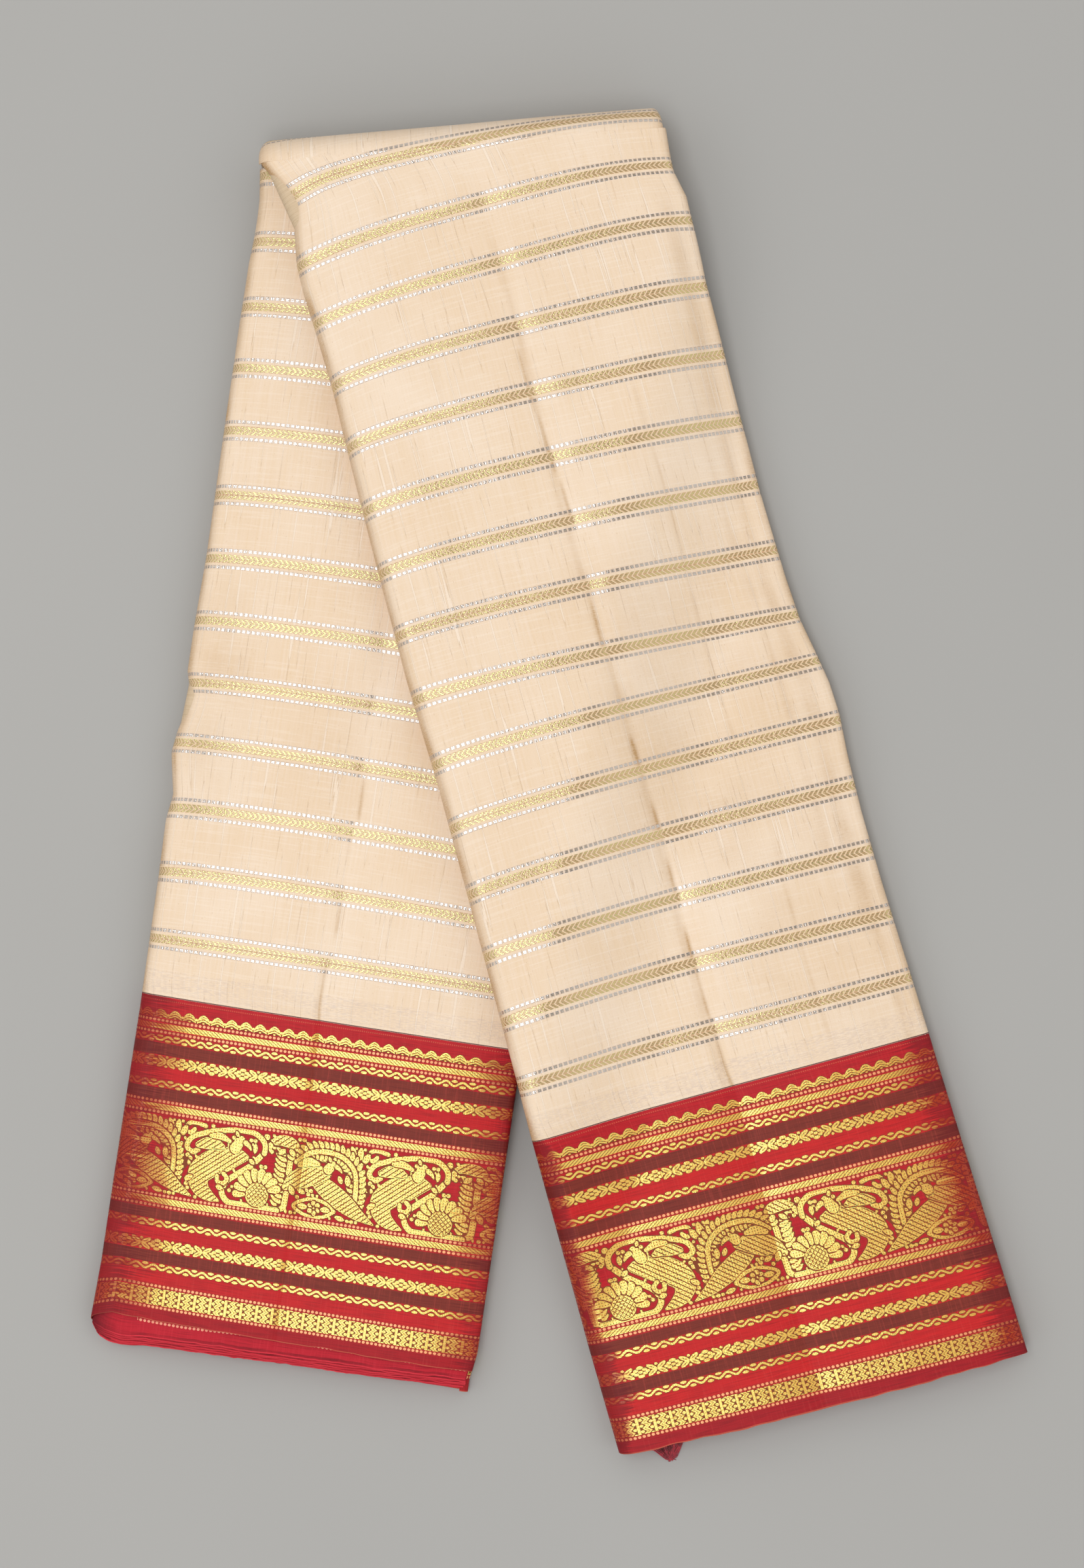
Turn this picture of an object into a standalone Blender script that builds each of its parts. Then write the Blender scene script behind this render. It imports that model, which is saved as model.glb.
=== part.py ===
"""A Kanchipuram silk saree, folded into a long pack, the pack folded once, and laid flat.

The saree is folded along its length by repeated halving, which gives a pack as wide as 1/32 of its
length and as long as the cloth is wide. That pack is folded once across, a little askew, so its two
legs splay. The front leg lies on the back leg near the crease and on the surface past it.

Sizes are in millimetres up to the function that makes a mesh. +X points to the front leg's side, +Y
to the crease and +Z up. The origin is on the surface, under the middle of the saree's outline.
"""

import math
from collections import namedtuple
from dataclasses import dataclass

import bmesh
import bpy
import numpy as np

MM = 0.001

# Cloth and pack
WALL = 1.2
GAP = 0.3
PACK_THICKNESS = 17.0
FRONT_THICKNESS = 16.0
PARTING_HEIGHT = 1.0
FOLD_SIDE_REACH = 4.0
FIELD_TURN_REACH = 6.0
BORDER_TURN_REACH = 9.0

TURN_STEPS = 6
FOLD_STEPS = 4
FIELD_CROWDING = 1.3

# Distances over which the turned side widens at the join, and over which a free end runs askew
WIDENING_RUN = 20.0
SHEAR_RUN = 40.0

# The crease that joins the legs
CREASE_REACH = 12.0
CREASE_BOW = 1.8
CREASE_LEAST = 0.35
CORNER_PINCH = 2.4
CORNER_LENGTH = 3.0
CREASE_STEPS = 8
CREASE_COUNT = 14
OUTER_STEP = 0.72
INNER_STEP = 0.42

# The front leg comes down to the surface past the back leg's edge
DROP_START = 6.0
DROP_RUN = 62.0

# The hidden layers at the free ends
LAYER_GAP = 0.5
LAYER_SLACK = 0.4
FOLD_FULLNESS = 0.85
LEAF_ROOT = 14.0
LEAF_NOSE = 0.7

# A soft wave along the edge of each leaf, by column and by leaf
LEAF_WAVE = 0.6
WAVE_PER_COLUMN = 1.9
WAVE_PER_LEAF = 2.3

# The tuft of loose yarn at the end of the front leg
TUFT_WIDTH = 21.0
TUFT_DEPTH = 1.6
TUFT_LOW = 0.7
TUFT_HIGH = 2.9
TUFT_PLACE = 0.115
TUFT_COLUMNS = 16
YARN_MARGIN = 0.22
YARN_FAN = 0.34
YARN_CROWN = 0.43
YARN_UNEVENNESS = 0.23

# A lower and an upper row of yarns, and how each falls over equal steps of its length
Yarns = namedtuple("Yarns", "length falls")

YARNS = (
    Yarns(4.9, (0.02, -0.10, -0.05)),
    Yarns(7.0, (0.10, -0.22, -0.30)),
)

# A section runs straight across a leg, from the turned side to the side where the folds lie.
Section = namedtuple("Section", "place left_x left_y right_x right_y")

FRONT_SECTIONS = (
    Section("crease", -137.7, 288.0, 48.4, 303.9),
    Section("gusset", -126.7, 271.6, 51.2, 291.5),
    Section("first stripe", -119.1, 242.0, 55.9, 275.8),
    Section("second stripe", -112.2, 216.5, 64.5, 251.6),
    Section("upper field", -90.4, 130.8, 88.1, 171.2),
    Section("lower field", -50.9, -15.5, 129.9, 29.0),
    Section("join", -11.8, -162.2, 171.7, -113.1),
    Section("end", 28.0, -309.3, 216.6, -262.5),
)

BACK_SECTIONS = (
    Section("crease", -140.0, 288.5, 46.4, 304.4),
    Section("gusset", -141.6, 263.1, 40.0, 263.4),
    Section("upper field", -151.4, 203.3, 28.8, 190.0),
    Section("lower field", -164.4, 111.2, 12.5, 84.3),
    Section("join", -194.5, -94.5, -21.4, -121.0),
    Section("end", -215.3, -241.9, -42.2, -270.7),
)

# How thick the pack is across each leg, as a share of its thickness. The low line in the middle is
# the crease that an earlier folding left.
Across = namedtuple("Across", "place front back")

ACROSS = (
    Across(0.00, 0.93, 0.78),
    Across(0.10, 0.99, 0.90),
    Across(0.22, 1.00, 0.98),
    Across(0.36, 1.00, 1.00),
    Across(0.46, 0.97, 0.99),
    Across(0.50, 0.94, 0.97),
    Across(0.54, 0.96, 0.99),
    Across(0.66, 0.99, 1.00),
    Across(0.80, 0.97, 1.00),
    Across(0.92, 0.91, 0.96),
    Across(1.00, 0.84, 0.88),
)

# The hidden layers as they show at a free end, from the surface up. Low and high are shares of the
# inner height, and the reaches run past the end of the outer cloth of each leg.
Leaf = namedtuple("Leaf", "low high front_reach back_reach")

LEAVES = (
    Leaf(0.00, 0.12, -2.6, 9.6),
    Leaf(0.21, 0.33, -1.6, 8.8),
    Leaf(0.44, 0.56, -3.0, 7.2),
    Leaf(0.67, 0.79, -1.8, 5.6),
    Leaf(0.88, 1.00, -2.4, 3.2),
)


def blend(value):
    """Rises softly from 0 to 1 as the value goes from 0 to 1."""
    value = np.clip(value, 0.0, 1.0)
    return value * value * (3.0 - 2.0 * value)


def smooth_through(places, values, at):
    """A smooth curve through the given values, read at one place."""
    places = np.asarray(places, float)
    values = np.asarray(values, float)
    slopes = np.gradient(values, places, axis=0)
    last = len(places) - 2
    step = int(np.clip(np.searchsorted(places, at, side="right") - 1, 0, last))
    span = places[step + 1] - places[step]
    u = (at - places[step]) / span
    return (
        values[step] * (1 + 2 * u) * (1 - u) ** 2
        + values[step + 1] * u * u * (3 - 2 * u)
        + slopes[step] * span * u * (1 - u) ** 2
        - slopes[step + 1] * span * u * u * (1 - u)
    )


def past_back_leg(x, y):
    """How far a point lies past the back leg's edge under the front leg, square to that edge."""
    top = BACK_SECTIONS[0]
    join = BACK_SECTIONS[4]
    run = np.array([join.right_x - top.right_x, join.right_y - top.right_y])
    run /= np.linalg.norm(run)
    return (x - top.right_x) * -run[1] + (y - top.right_y) * run[0]


@dataclass(frozen=True)
class Leg:
    """One half of the folded pack, from the crease to its free end."""

    sections: tuple
    thickness: float
    column: str
    end_thinning: float
    end_shear: float
    field_count: int
    border_count: int

    def stations(self):
        """The distance of each section from the first, along the middle of the leg."""
        middles = [
            ((s.left_x + s.right_x) / 2, (s.left_y + s.right_y) / 2) for s in self.sections
        ]
        steps = [math.dist(a, b) for a, b in zip(middles, middles[1:])]
        return np.concatenate([[0.0], np.cumsum(steps)])

    def edges(self, along):
        """The left and right ends of the section at one distance from the crease."""
        corners = [(s.left_x, s.left_y, s.right_x, s.right_y) for s in self.sections]
        stations = self.stations()
        if along >= stations[-1]:
            past = along - stations[-1]
            last = np.array(corners[-1])
            run = last - np.array(corners[-2])
            length = stations[-1] - stations[-2]
            found = last + run * past / length
        else:
            found = smooth_through(stations, corners, along)
        return found[:2], found[2:]

    def join(self):
        """The distance from the crease at which the border begins."""
        return self.stations()[-2]

    def end(self):
        """The distance from the crease to the free end of the outer cloth."""
        return self.stations()[-1]

    def turn_reach(self, along):
        """How far the round of the turned side reaches in, which grows at the border."""
        grown = blend((along - self.join()) / WIDENING_RUN + 0.5)
        return FIELD_TURN_REACH + (BORDER_TURN_REACH - FIELD_TURN_REACH) * grown

    def underside(self, x, y):
        """Height of the leg's lowest cloth above the surface."""
        if self.column == "back":
            return 0.0
        past = past_back_leg(x, y) - DROP_START
        return (PACK_THICKNESS + GAP) * (1.0 - blend(past / DROP_RUN))

    def pack(self, along, across):
        """Thickness of the pack at one place."""
        share = smooth_through(
            [row.place for row in ACROSS], [getattr(row, self.column) for row in ACROSS], across
        )
        thinned = self.end_thinning * blend((along - self.join()) / (self.end() - self.join()))
        return (self.thickness - thinned) * share

    def place(self, along, across_mm, height, inset):
        """A point of a section, given from the left edge in millimetres.

        Height runs from 0 at the underside to 1 at the top, and inset moves both inwards.
        """
        left, right = self.edges(along)
        width = math.dist(left, right)
        x, y = left + (right - left) * across_mm / width
        reach = self.turn_reach(along)
        held = np.clip(across_mm, reach, width - FOLD_SIDE_REACH)
        held_x, held_y = left + (right - left) * held / width
        low = self.underside(held_x, held_y) + inset
        high = low - 2 * inset + self.pack(along, held / width)
        return np.array([x, y, low + (high - low) * height])

    def width(self, along):
        """Distance across the leg."""
        return math.dist(*self.edges(along))

    def turn_point(self, along, inset, share):
        """A point of the turned side's round, at a share of the way from the underside to the top."""
        reach = self.turn_reach(along)
        angle = math.pi * (share - 0.5)
        across = reach - (reach - inset) * math.cos(angle)
        return self.place(along, across, (1 + math.sin(angle)) / 2, inset)

    def half_share(self, along, inset):
        """How much of the height between the insets one half of the pack takes at the folded side."""
        whole = self.pack(along, 1 - FOLD_SIDE_REACH / self.width(along))
        return ((whole - PARTING_HEIGHT) / 2 - 2 * inset) / (whole - 2 * inset)

    def fold_points(self, along, inset, upper):
        """The round of one half of the pack at the folded side, from its outside to the parting."""
        base = self.width(along) - FOLD_SIDE_REACH
        half = self.half_share(along, inset)
        points = []
        for step in range(FOLD_STEPS + 1):
            angle = math.pi * step / FOLD_STEPS
            across = base + (FOLD_SIDE_REACH - inset) * math.sin(angle)
            height = half * (1 - math.cos(angle)) / 2
            points.append(self.place(along, across, 1 - height if upper else height, inset))
        return points

    def skin(self, along, inset):
        """The outline of one section, from the parting round the turned side back to the parting."""
        reach = self.turn_reach(along)
        flat = self.width(along) - reach - FOLD_SIDE_REACH
        shear = self.end_shear * blend((along - self.end() + SHEAR_RUN) / SHEAR_RUN)
        across = [reach + flat * row.place for row in ACROSS]
        points = self.fold_points(along + shear, inset, upper=False)[::-1]
        points += [self.place(along + shear, a, 0.0, inset) for a in across[-2::-1]]
        for step in range(1, TURN_STEPS):
            share = step / TURN_STEPS
            points.append(self.turn_point(along + shear * (1 - share), inset, share))
        points += [self.place(along, a, 1.0, inset) for a in across[:-1]]
        points += self.fold_points(along, inset, upper=True)
        return points

    def field_places(self):
        """Where the field's sections lie, closer together near the crease."""
        share = np.linspace(0.0, 1.0, self.field_count) ** FIELD_CROWDING
        return GAP + (self.join() - GAP / 2 - GAP) * share

    def border_places(self):
        """Where the border's sections lie, one of them where the hidden layers part into leaves."""
        start = self.join() + GAP / 2
        root = self.end() - LEAF_ROOT
        return np.append(np.linspace(start, root, self.border_count), self.end())


FRONT = Leg(
    FRONT_SECTIONS,
    FRONT_THICKNESS,
    "front",
    end_thinning=1.0,
    end_shear=-1.5,
    field_count=16,
    border_count=7,
)
BACK = Leg(
    BACK_SECTIONS,
    PACK_THICKNESS,
    "back",
    end_thinning=2.5,
    end_shear=10.4,
    field_count=12,
    border_count=6,
)


def cloth_material(name, color, roughness, metallic=0.0):
    """A plain finish in the colour of one stretch."""
    material = bpy.data.materials.new(name)
    material.use_nodes = True
    shader = material.node_tree.nodes["Principled BSDF"]
    shader.inputs["Base Color"].default_value = (*color, 1.0)
    shader.inputs["Roughness"].default_value = roughness
    shader.inputs["Metallic"].default_value = metallic
    return material


def split_alike(mesh_builder):
    """Splits each four-sided face along its higher diagonal, so that layers on each other nest."""
    for face in mesh_builder.faces[:]:
        if len(face.verts) == 4:
            a, b, c, d = face.verts
            pair = (a, c) if a.co.z + c.co.z > b.co.z + d.co.z else (b, d)
            bmesh.utils.face_split(face, *pair)


def finish(name, mesh_builder, material):
    """Makes the named object of one piece, with its faces outwards and its round stretches smooth."""
    split_alike(mesh_builder)
    bmesh.ops.recalc_face_normals(mesh_builder, faces=mesh_builder.faces)
    if mesh_builder.calc_volume(signed=True) < 0:
        bmesh.ops.reverse_faces(mesh_builder, faces=mesh_builder.faces)
    mesh = bpy.data.meshes.new(name)
    mesh_builder.to_mesh(mesh)
    mesh_builder.free()
    mesh.materials.append(material)
    mesh.shade_smooth()
    mesh.set_sharp_from_angle(angle=math.radians(40))
    piece = bpy.data.objects.new(name, mesh)
    bpy.context.scene.collection.objects.link(piece)
    return piece


def grid_of(points):
    """A mesh sheet whose vertices are the given rows of points, each marked with its place in them."""
    rows, columns = points.shape[:2]
    sheet = bmesh.new()
    bmesh.ops.create_grid(sheet, x_segments=columns - 1, y_segments=rows - 1, size=1.0)
    place = sheet.verts.layers.int.new("place")
    for index, (vertex, point) in enumerate(zip(sheet.verts, points.reshape(-1, 3))):
        vertex[place] = index
        vertex.co = point * MM
    return sheet, place


def wall(name, outer, inner, material):
    """A closed wall of cloth between two sheets of points of the same shape."""
    sheet, place = grid_of(outer)
    grown = bmesh.ops.extrude_face_region(sheet, geom=sheet.faces[:], use_keep_orig=True)
    inner_points = inner.reshape(-1, 3)
    for element in grown["geom"]:
        if isinstance(element, bmesh.types.BMVert):
            element.co = inner_points[element[place]] * MM
    return finish(name, sheet, material)


def leg_wall(name, leg, places, material):
    """The outer cloth of one stretch of a leg, through its sections."""
    outer = np.array([leg.skin(place, 0.0) for place in places])
    inner = np.array([leg.skin(place, WALL) for place in places])
    return wall(name, outer, inner, material)


def leaf_rows():
    """The heights that part the hidden layers, and for each stretch between them its leaf or None."""
    heights = []
    stretches = []
    for leaf in LEAVES:
        if heights:
            stretches.append(None)
        heights += [leaf.low, (leaf.low + leaf.high) / 2, leaf.high]
        stretches += [leaf, leaf]
    return heights, stretches


def layer_section(leg, along, heights):
    """The points of one section of the hidden layers, a row for each height."""
    inset = WALL + LAYER_GAP
    reach = leg.turn_reach(along)
    base = leg.width(along) - FOLD_SIDE_REACH
    half = leg.half_share(along, inset)
    rows = []
    for height in heights:
        left = reach - (reach - inset - LAYER_SLACK) * math.sqrt(1 - (2 * height - 1) ** 2)
        nearest = min(height, 1 - height) / half
        if nearest < FOLD_FULLNESS:
            right_round = math.sqrt(1 - (2 * nearest - 1) ** 2)
            right = base + (FOLD_SIDE_REACH - inset - LAYER_SLACK) * right_round
        else:
            right = base - 2 * GAP
        inside = [reach + (base - reach) * row.place for row in ACROSS[1:-1]]
        rows.append([leg.place(along, a, height, inset) for a in (left, *inside, right)])
    return np.array(rows)


def box_of(bm, sections):
    """The outside of a body given as sections of rows of points, each marked with its place in them.

    Returns the faces of the last section by row and column.
    """
    count, rows, columns = sections.shape[:3]
    place = bm.verts.layers.int.new("place")
    verts = {}

    def vert(i, k, j):
        if (i, k, j) not in verts:
            verts[i, k, j] = bm.verts.new(sections[i, k, j] * MM)
            verts[i, k, j][place] = k * columns + j
        return verts[i, k, j]

    def quad(*corners):
        return bm.faces.new([vert(*corner) for corner in corners])

    for i in range(count - 1):
        for j in range(columns - 1):
            for k in (0, rows - 1):
                quad((i, k, j), (i + 1, k, j), (i + 1, k, j + 1), (i, k, j + 1))
        for k in range(rows - 1):
            for j in (0, columns - 1):
                quad((i, k, j), (i, k + 1, j), (i + 1, k + 1, j), (i + 1, k, j))
    around = [(0, j) for j in range(columns)]
    around += [(k, columns - 1) for k in range(1, rows)]
    around += [(rows - 1, j) for j in range(columns - 2, -1, -1)]
    around += [(k, 0) for k in range(rows - 2, 0, -1)]
    bm.faces.new([vert(0, k, j) for k, j in around])
    i = count - 1
    return {
        (k, j): quad((i, k, j), (i, k, j + 1), (i, k + 1, j + 1), (i, k + 1, j))
        for k in range(rows - 1)
        for j in range(columns - 1)
    }


def hidden_layers(name, leg, material):
    """The inner layers of a leg as one solid whose free end parts into leaves."""
    heights, stretches = leaf_rows()
    places = [*leg.field_places()[:-1], *leg.border_places()[:-1]]
    sections = np.array([layer_section(leg, place, heights) for place in places])
    bm = bmesh.new()
    cells = box_of(bm, sections)
    place = bm.verts.layers.int["place"]
    columns = sections.shape[2]
    for number, leaf in enumerate(LEAVES):
        rows = [k for k, stretch in enumerate(stretches) if stretch is leaf]
        faces = [cells[k, j] for k in rows for j in range(columns - 1)]
        nose = rows[1]
        grown = bmesh.ops.extrude_face_region(bm, geom=faces, use_keep_orig=True)
        bmesh.ops.delete(bm, geom=faces, context="FACES")
        reach = leaf.front_reach if leg is FRONT else leaf.back_reach
        ends = layer_section(leg, leg.end() + reach, heights)
        ahead = layer_section(leg, leg.end() + reach + 1.0, heights) - ends
        for element in grown["geom"]:
            if isinstance(element, bmesh.types.BMVert):
                k, j = divmod(element[place], columns)
                forward = LEAF_WAVE * math.sin(WAVE_PER_COLUMN * j + WAVE_PER_LEAF * number)
                forward += LEAF_NOSE if k == nose else 0.0
                element.co = (ends[k, j] + ahead[k, j] * forward) * MM
    return finish(name, bm, material)


def crease_frame(share):
    """The foot of the crease's round at one share of its length, the way it points and its run."""
    start, stop = (np.add(*ends) / 2 for ends in zip(FRONT.edges(0.0), BACK.edges(0.0)))
    run = (stop - start) / np.linalg.norm(stop - start)
    outward = np.array([-run[1], run[0]])
    return start + (stop - start) * share, outward, run


def round_points(foot, outward, depth, middle, half):
    """Half of an ellipse that stands on its foot, from its top over its outside to its underside."""
    points = []
    for step in range(CREASE_STEPS + 1):
        angle = math.pi * (0.5 - step / CREASE_STEPS)
        x, y = foot + outward * (GAP + depth * math.cos(angle))
        points.append((x, y, middle + half * math.sin(angle)))
    return points


def crease_section(share, inset, scale=1.0):
    """One section of the crease, from the top of the front leg to the underside of the back leg."""
    foot, outward, _ = crease_frame(share)
    width = FRONT.width(0.0)
    across = share * width
    reach = FRONT.turn_reach(0.0)
    near_left = np.clip(across / reach, 0.0, 1.0)
    near_right = np.clip((width - across) / FOLD_SIDE_REACH, 0.0, 1.0)
    left_round = math.sqrt(1 - (1 - near_left) ** 2)
    right_round = math.sqrt(1 - (1 - near_right) ** 2)
    held = np.clip(across, reach, width - FOLD_SIDE_REACH) / width
    high = PACK_THICKNESS + GAP + FRONT.pack(0.0, held)
    lobe = FRONT.pack(0.0, held) / 4
    top = high - (1 - left_round) * FRONT.pack(0.0, held) / 2 - (1 - right_round) * lobe
    low = (1 - left_round) * BACK.pack(0.0, held) / 2 + (1 - right_round) * lobe
    middle = (top + low) / 2
    half = ((top - low) / 2 - inset) * scale
    depth = CREASE_REACH * (CREASE_LEAST + (1 - CREASE_LEAST) * min(left_round, right_round))
    depth = (depth + CREASE_BOW * math.sin(math.pi * share) - inset) * scale
    return round_points(foot, outward, depth, middle, half)


def corner_pinch(inset):
    """The last section of the crease, pinched together at the turned side."""
    foot, outward, run = crease_frame(0.0)
    size = CORNER_PINCH - inset
    tip = foot - run * (CORNER_LENGTH - inset)
    return round_points(tip, outward, size, (PACK_THICKNESS + FRONT_THICKNESS) / 2, size)


def crease_shares():
    """Places along the crease, closer together at its two ends."""
    return 0.5 - 0.5 * np.cos(math.pi * np.linspace(0.0, 1.0, CREASE_COUNT))


def crease_turn(material):
    """The cloth that turns over the crease."""
    outer, inner = (
        [corner_pinch(inset)] + [crease_section(share, inset) for share in crease_shares()]
        for inset in (0.0, WALL)
    )
    return wall("crease_turn", np.array(outer), np.array(inner), material)


def crease_layers(material):
    """The layers inside the crease, stepped where they show at the folded side."""
    inset = WALL + LAYER_GAP
    shares = crease_shares()
    sections = [crease_section(share, inset) for share in shares[1:-1]]
    first_step = shares[-2]
    second_step = (shares[-2] + shares[-1]) / 2
    for share, scale in (
        (first_step, OUTER_STEP),
        (second_step, OUTER_STEP),
        (second_step, INNER_STEP),
        (shares[-1], INNER_STEP),
    ):
        sections.append(crease_section(share, inset, scale))
    sheet, _ = grid_of(np.array(sections))
    rows, columns = len(sections), CREASE_STEPS + 1
    verts = list(sheet.verts)
    for row in range(rows - 1):
        this, after = row * columns, (row + 1) * columns
        sheet.faces.new([verts[n] for n in (this, this + columns - 1, after + columns - 1, after)])
    for row in (0, rows - 1):
        sheet.faces.new(verts[row * columns : (row + 1) * columns])
    return finish("crease_layers", sheet, material)


def end_fringe(material):
    """Loose yarns that stand out from under the end of the front leg, rooted in a narrow strip."""
    left, right = FRONT.edges(FRONT.end())
    across = (right - left) / np.linalg.norm(right - left)
    outward = np.array([across[1], -across[0]])
    middle = left + (right - left) * TUFT_PLACE + outward * (FRONT.end_shear + GAP)
    bm = bmesh.new()
    bmesh.ops.create_grid(bm, x_segments=TUFT_COLUMNS, y_segments=2, size=1.0)
    for vertex in bm.verts:
        plan = middle + across * vertex.co.x * TUFT_WIDTH / 2 + outward * TUFT_DEPTH
        height = TUFT_LOW + (TUFT_HIGH - TUFT_LOW) * (vertex.co.y + 1) / 2
        vertex.co = (plan[0] * MM, plan[1] * MM, height * MM)
    front = bm.faces[:]
    strip = bmesh.ops.extrude_face_region(bm, geom=front, use_keep_orig=True)
    moved = [element for element in strip["geom"] if isinstance(element, bmesh.types.BMVert)]
    bmesh.ops.translate(bm, verts=moved, vec=(*(-outward * TUFT_DEPTH * MM), 0.0))
    bmesh.ops.inset_individual(bm, faces=front, thickness=YARN_MARGIN * MM)
    grow_yarns(bm, front, middle, across, outward)
    return finish("end_fringe", bm, material)


def grow_yarns(bm, roots, middle, across, outward):
    """Draws one yarn out of each root face, fanned so that none meets its neighbour."""
    bm.faces.ensure_lookup_table()
    low = (TUFT_LOW + TUFT_HIGH) / 2 * MM
    for number, face in enumerate(sorted(roots, key=lambda f: tuple(f.calc_center_median()))):
        centre = face.calc_center_median()
        side = (centre.x / MM - middle[0]) * across[0] + (centre.y / MM - middle[1]) * across[1]
        share = side / (TUFT_WIDTH / 2)
        row = YARNS[1 if centre.z > low else 0]
        travel = row.length / len(row.falls)
        crown = YARN_CROWN * math.cos(math.pi / 2 * share)
        travel *= 1.0 + crown + YARN_UNEVENNESS * math.sin(2.7 * number)
        for fall in row.falls:
            face = bmesh.ops.extrude_discrete_faces(bm, faces=[face])["faces"][0]
            x, y = (outward + across * YARN_FAN * share) * travel * MM
            bmesh.ops.translate(bm, verts=face.verts[:], vec=(x, y, fall * travel * MM))


def main():
    """Builds every piece of the folded saree."""
    for piece in list(bpy.data.objects):
        bpy.data.objects.remove(piece, do_unlink=True)
    cream = cloth_material("cream silk", (0.73, 0.58, 0.40), 0.55)
    crimson = cloth_material("crimson silk", (0.43, 0.012, 0.027), 0.5)
    yarn = cloth_material("dark red yarn", (0.30, 0.01, 0.02), 0.7)
    layered = cloth_material("layered silk", (0.55, 0.20, 0.15), 0.6)
    leg_wall("front_field", FRONT, FRONT.field_places(), cream)
    leg_wall("front_border", FRONT, FRONT.border_places(), crimson)
    leg_wall("back_field", BACK, BACK.field_places(), cream)
    leg_wall("back_border", BACK, BACK.border_places(), crimson)
    hidden_layers("front_layers", FRONT, layered)
    hidden_layers("back_layers", BACK, layered)
    crease_turn(cream)
    crease_layers(layered)
    end_fringe(yarn)


main()
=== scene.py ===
"""The look of a folded Kanchipuram silk saree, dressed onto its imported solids.

The saree is folded lengthwise into a pack of many layers, the pack is folded once a little askew, and
it lies flat. Lengths are in millimetres up to the function that makes a mesh. A place on the cloth is
given by its weave: u runs along the saree, across a leg, and v runs across the saree, from the join of
field and border up the leg. The border lies at negative v.
"""

import logging
import math
from collections.abc import Callable, Iterable, Iterator
from dataclasses import dataclass
from enum import Enum
from functools import cached_property, reduce
from operator import or_
from typing import NamedTuple

import bmesh
import bpy
import numpy as np
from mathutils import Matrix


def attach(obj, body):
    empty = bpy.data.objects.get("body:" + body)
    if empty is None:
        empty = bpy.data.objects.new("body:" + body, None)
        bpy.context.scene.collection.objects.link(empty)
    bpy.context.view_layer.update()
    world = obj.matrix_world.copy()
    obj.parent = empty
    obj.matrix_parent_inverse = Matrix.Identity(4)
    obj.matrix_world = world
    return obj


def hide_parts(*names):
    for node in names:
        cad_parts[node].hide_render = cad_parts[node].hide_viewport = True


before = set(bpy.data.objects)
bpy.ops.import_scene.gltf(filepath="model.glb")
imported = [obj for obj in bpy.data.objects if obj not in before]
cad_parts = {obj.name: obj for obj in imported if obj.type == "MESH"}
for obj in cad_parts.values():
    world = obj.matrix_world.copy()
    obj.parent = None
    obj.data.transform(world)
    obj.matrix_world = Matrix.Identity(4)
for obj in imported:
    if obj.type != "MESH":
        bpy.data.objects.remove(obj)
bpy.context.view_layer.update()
LOG = logging.getLogger("saree")

MM = 0.001

# The form that the cloth shares with the solids.
WALL = 1.2
GAP = 0.3
PACK_THICKNESS = 17.0
FRONT_THICKNESS = 16.0
PARTING_HEIGHT = 1.0
FOLD_SIDE_REACH = 4.0
FIELD_TURN_REACH = 6.0
BORDER_TURN_REACH = 9.0
WIDENING_RUN = 20.0
SHEAR_RUN = 40.0
DROP_START = 6.0
DROP_RUN = 62.0
CREASE_REACH = 12.0
CREASE_LEAST = 0.35
CREASE_BOW = -0.2

# The cloth and its weave.
CLOTH = 0.45
INNER_CLOTH = 0.5
BORDER_DEPTH = 150.3
STRIPE_PITCH = 30.2
LOWEST_STRIPE = 27.0
REPEAT = 92.3
MOTIF_LOW = 54.9
MOTIF_HIGH = 91.0

# Creases, ripples and the bow of the stripes, counted on one width for both legs.
COUNTED_WIDTH = 186.0
SIDE_SHARE = 0.14
BOW_GROWS_FROM = 200.0
BOW_GROWS_OVER = 200.0
BOW_EVENS_FROM = 350.0
BOW_EVENS_OVER = 50.0
BOW_STARTS_OVER = 70.0
SOFT_RIPPLE = 0.22
FINE_RIPPLE = 0.05
CREASE_SWAY = 0.004
CREASE_SWAY_RUN = 23.0
CREASE_FADE = 9.0
SHADE_SWAY = 0.006
SHADE_SWAY_RUN = 37.0
SHADE_FADE = 40.0

# Places and repeats in the finishes.
NO_DOTS = 9.0
THREAD_PITCH = 0.62
FREE_EDGE = -145.0
FREE_RIM = -149.95
ROPE_PITCH = 2.09
WAVE_PITCH = 8.27
LATTICE_PITCH = 15.45
SCALLOP_PITCH = 7.19
BOX_PITCH = 7.83
ZIGZAG_PITCH = 2.7

# The tones of the border's ground in the mesh.
CRIMSON_GROUND = 0.0
BRIGHT_GROUND = 0.5
MAROON_GROUND = 1.0


class Side(Enum):
    """Which leg of the folded pack a piece belongs to."""

    FRONT = "front"
    BACK = "back"


class Weave(Enum):
    """The figures woven in gold along the border, each with its number in the mesh."""

    PLAIN = 0
    DOTS = 1
    ROPE = 2
    WAVE = 3
    LATTICE = 4
    SCALLOPS = 5
    BOXES = 6
    BIRDS = 7


class Section(NamedTuple):
    """One straight section across a leg."""

    name: str
    left_x: float
    left_y: float
    right_x: float
    right_y: float


class Stripe(NamedTuple):
    """Where one stripe of the cloth meets the two sides of a leg, by its distance up the page."""

    cloth: float
    left_y: float
    right_y: float


class Tilt(NamedTuple):
    """How steeply the cloth falls to the right, in degrees, at one distance up the cloth."""

    cloth: float
    degrees: tuple[float, ...]


class Band(NamedTuple):
    """One figured band of the border, in millimetres below the join."""

    low: float
    high: float
    weave: Weave


class Ground(NamedTuple):
    """The colour of the border's silk up to one distance below the join."""

    until: float
    tone: float


Course = tuple[tuple[float, float], ...]
Colour = tuple[float, float, float, float]

# How much of the bright ground shows on each leg.
BRIGHTNESS = {Side.FRONT: 0.32, Side.BACK: 0.2}

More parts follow.
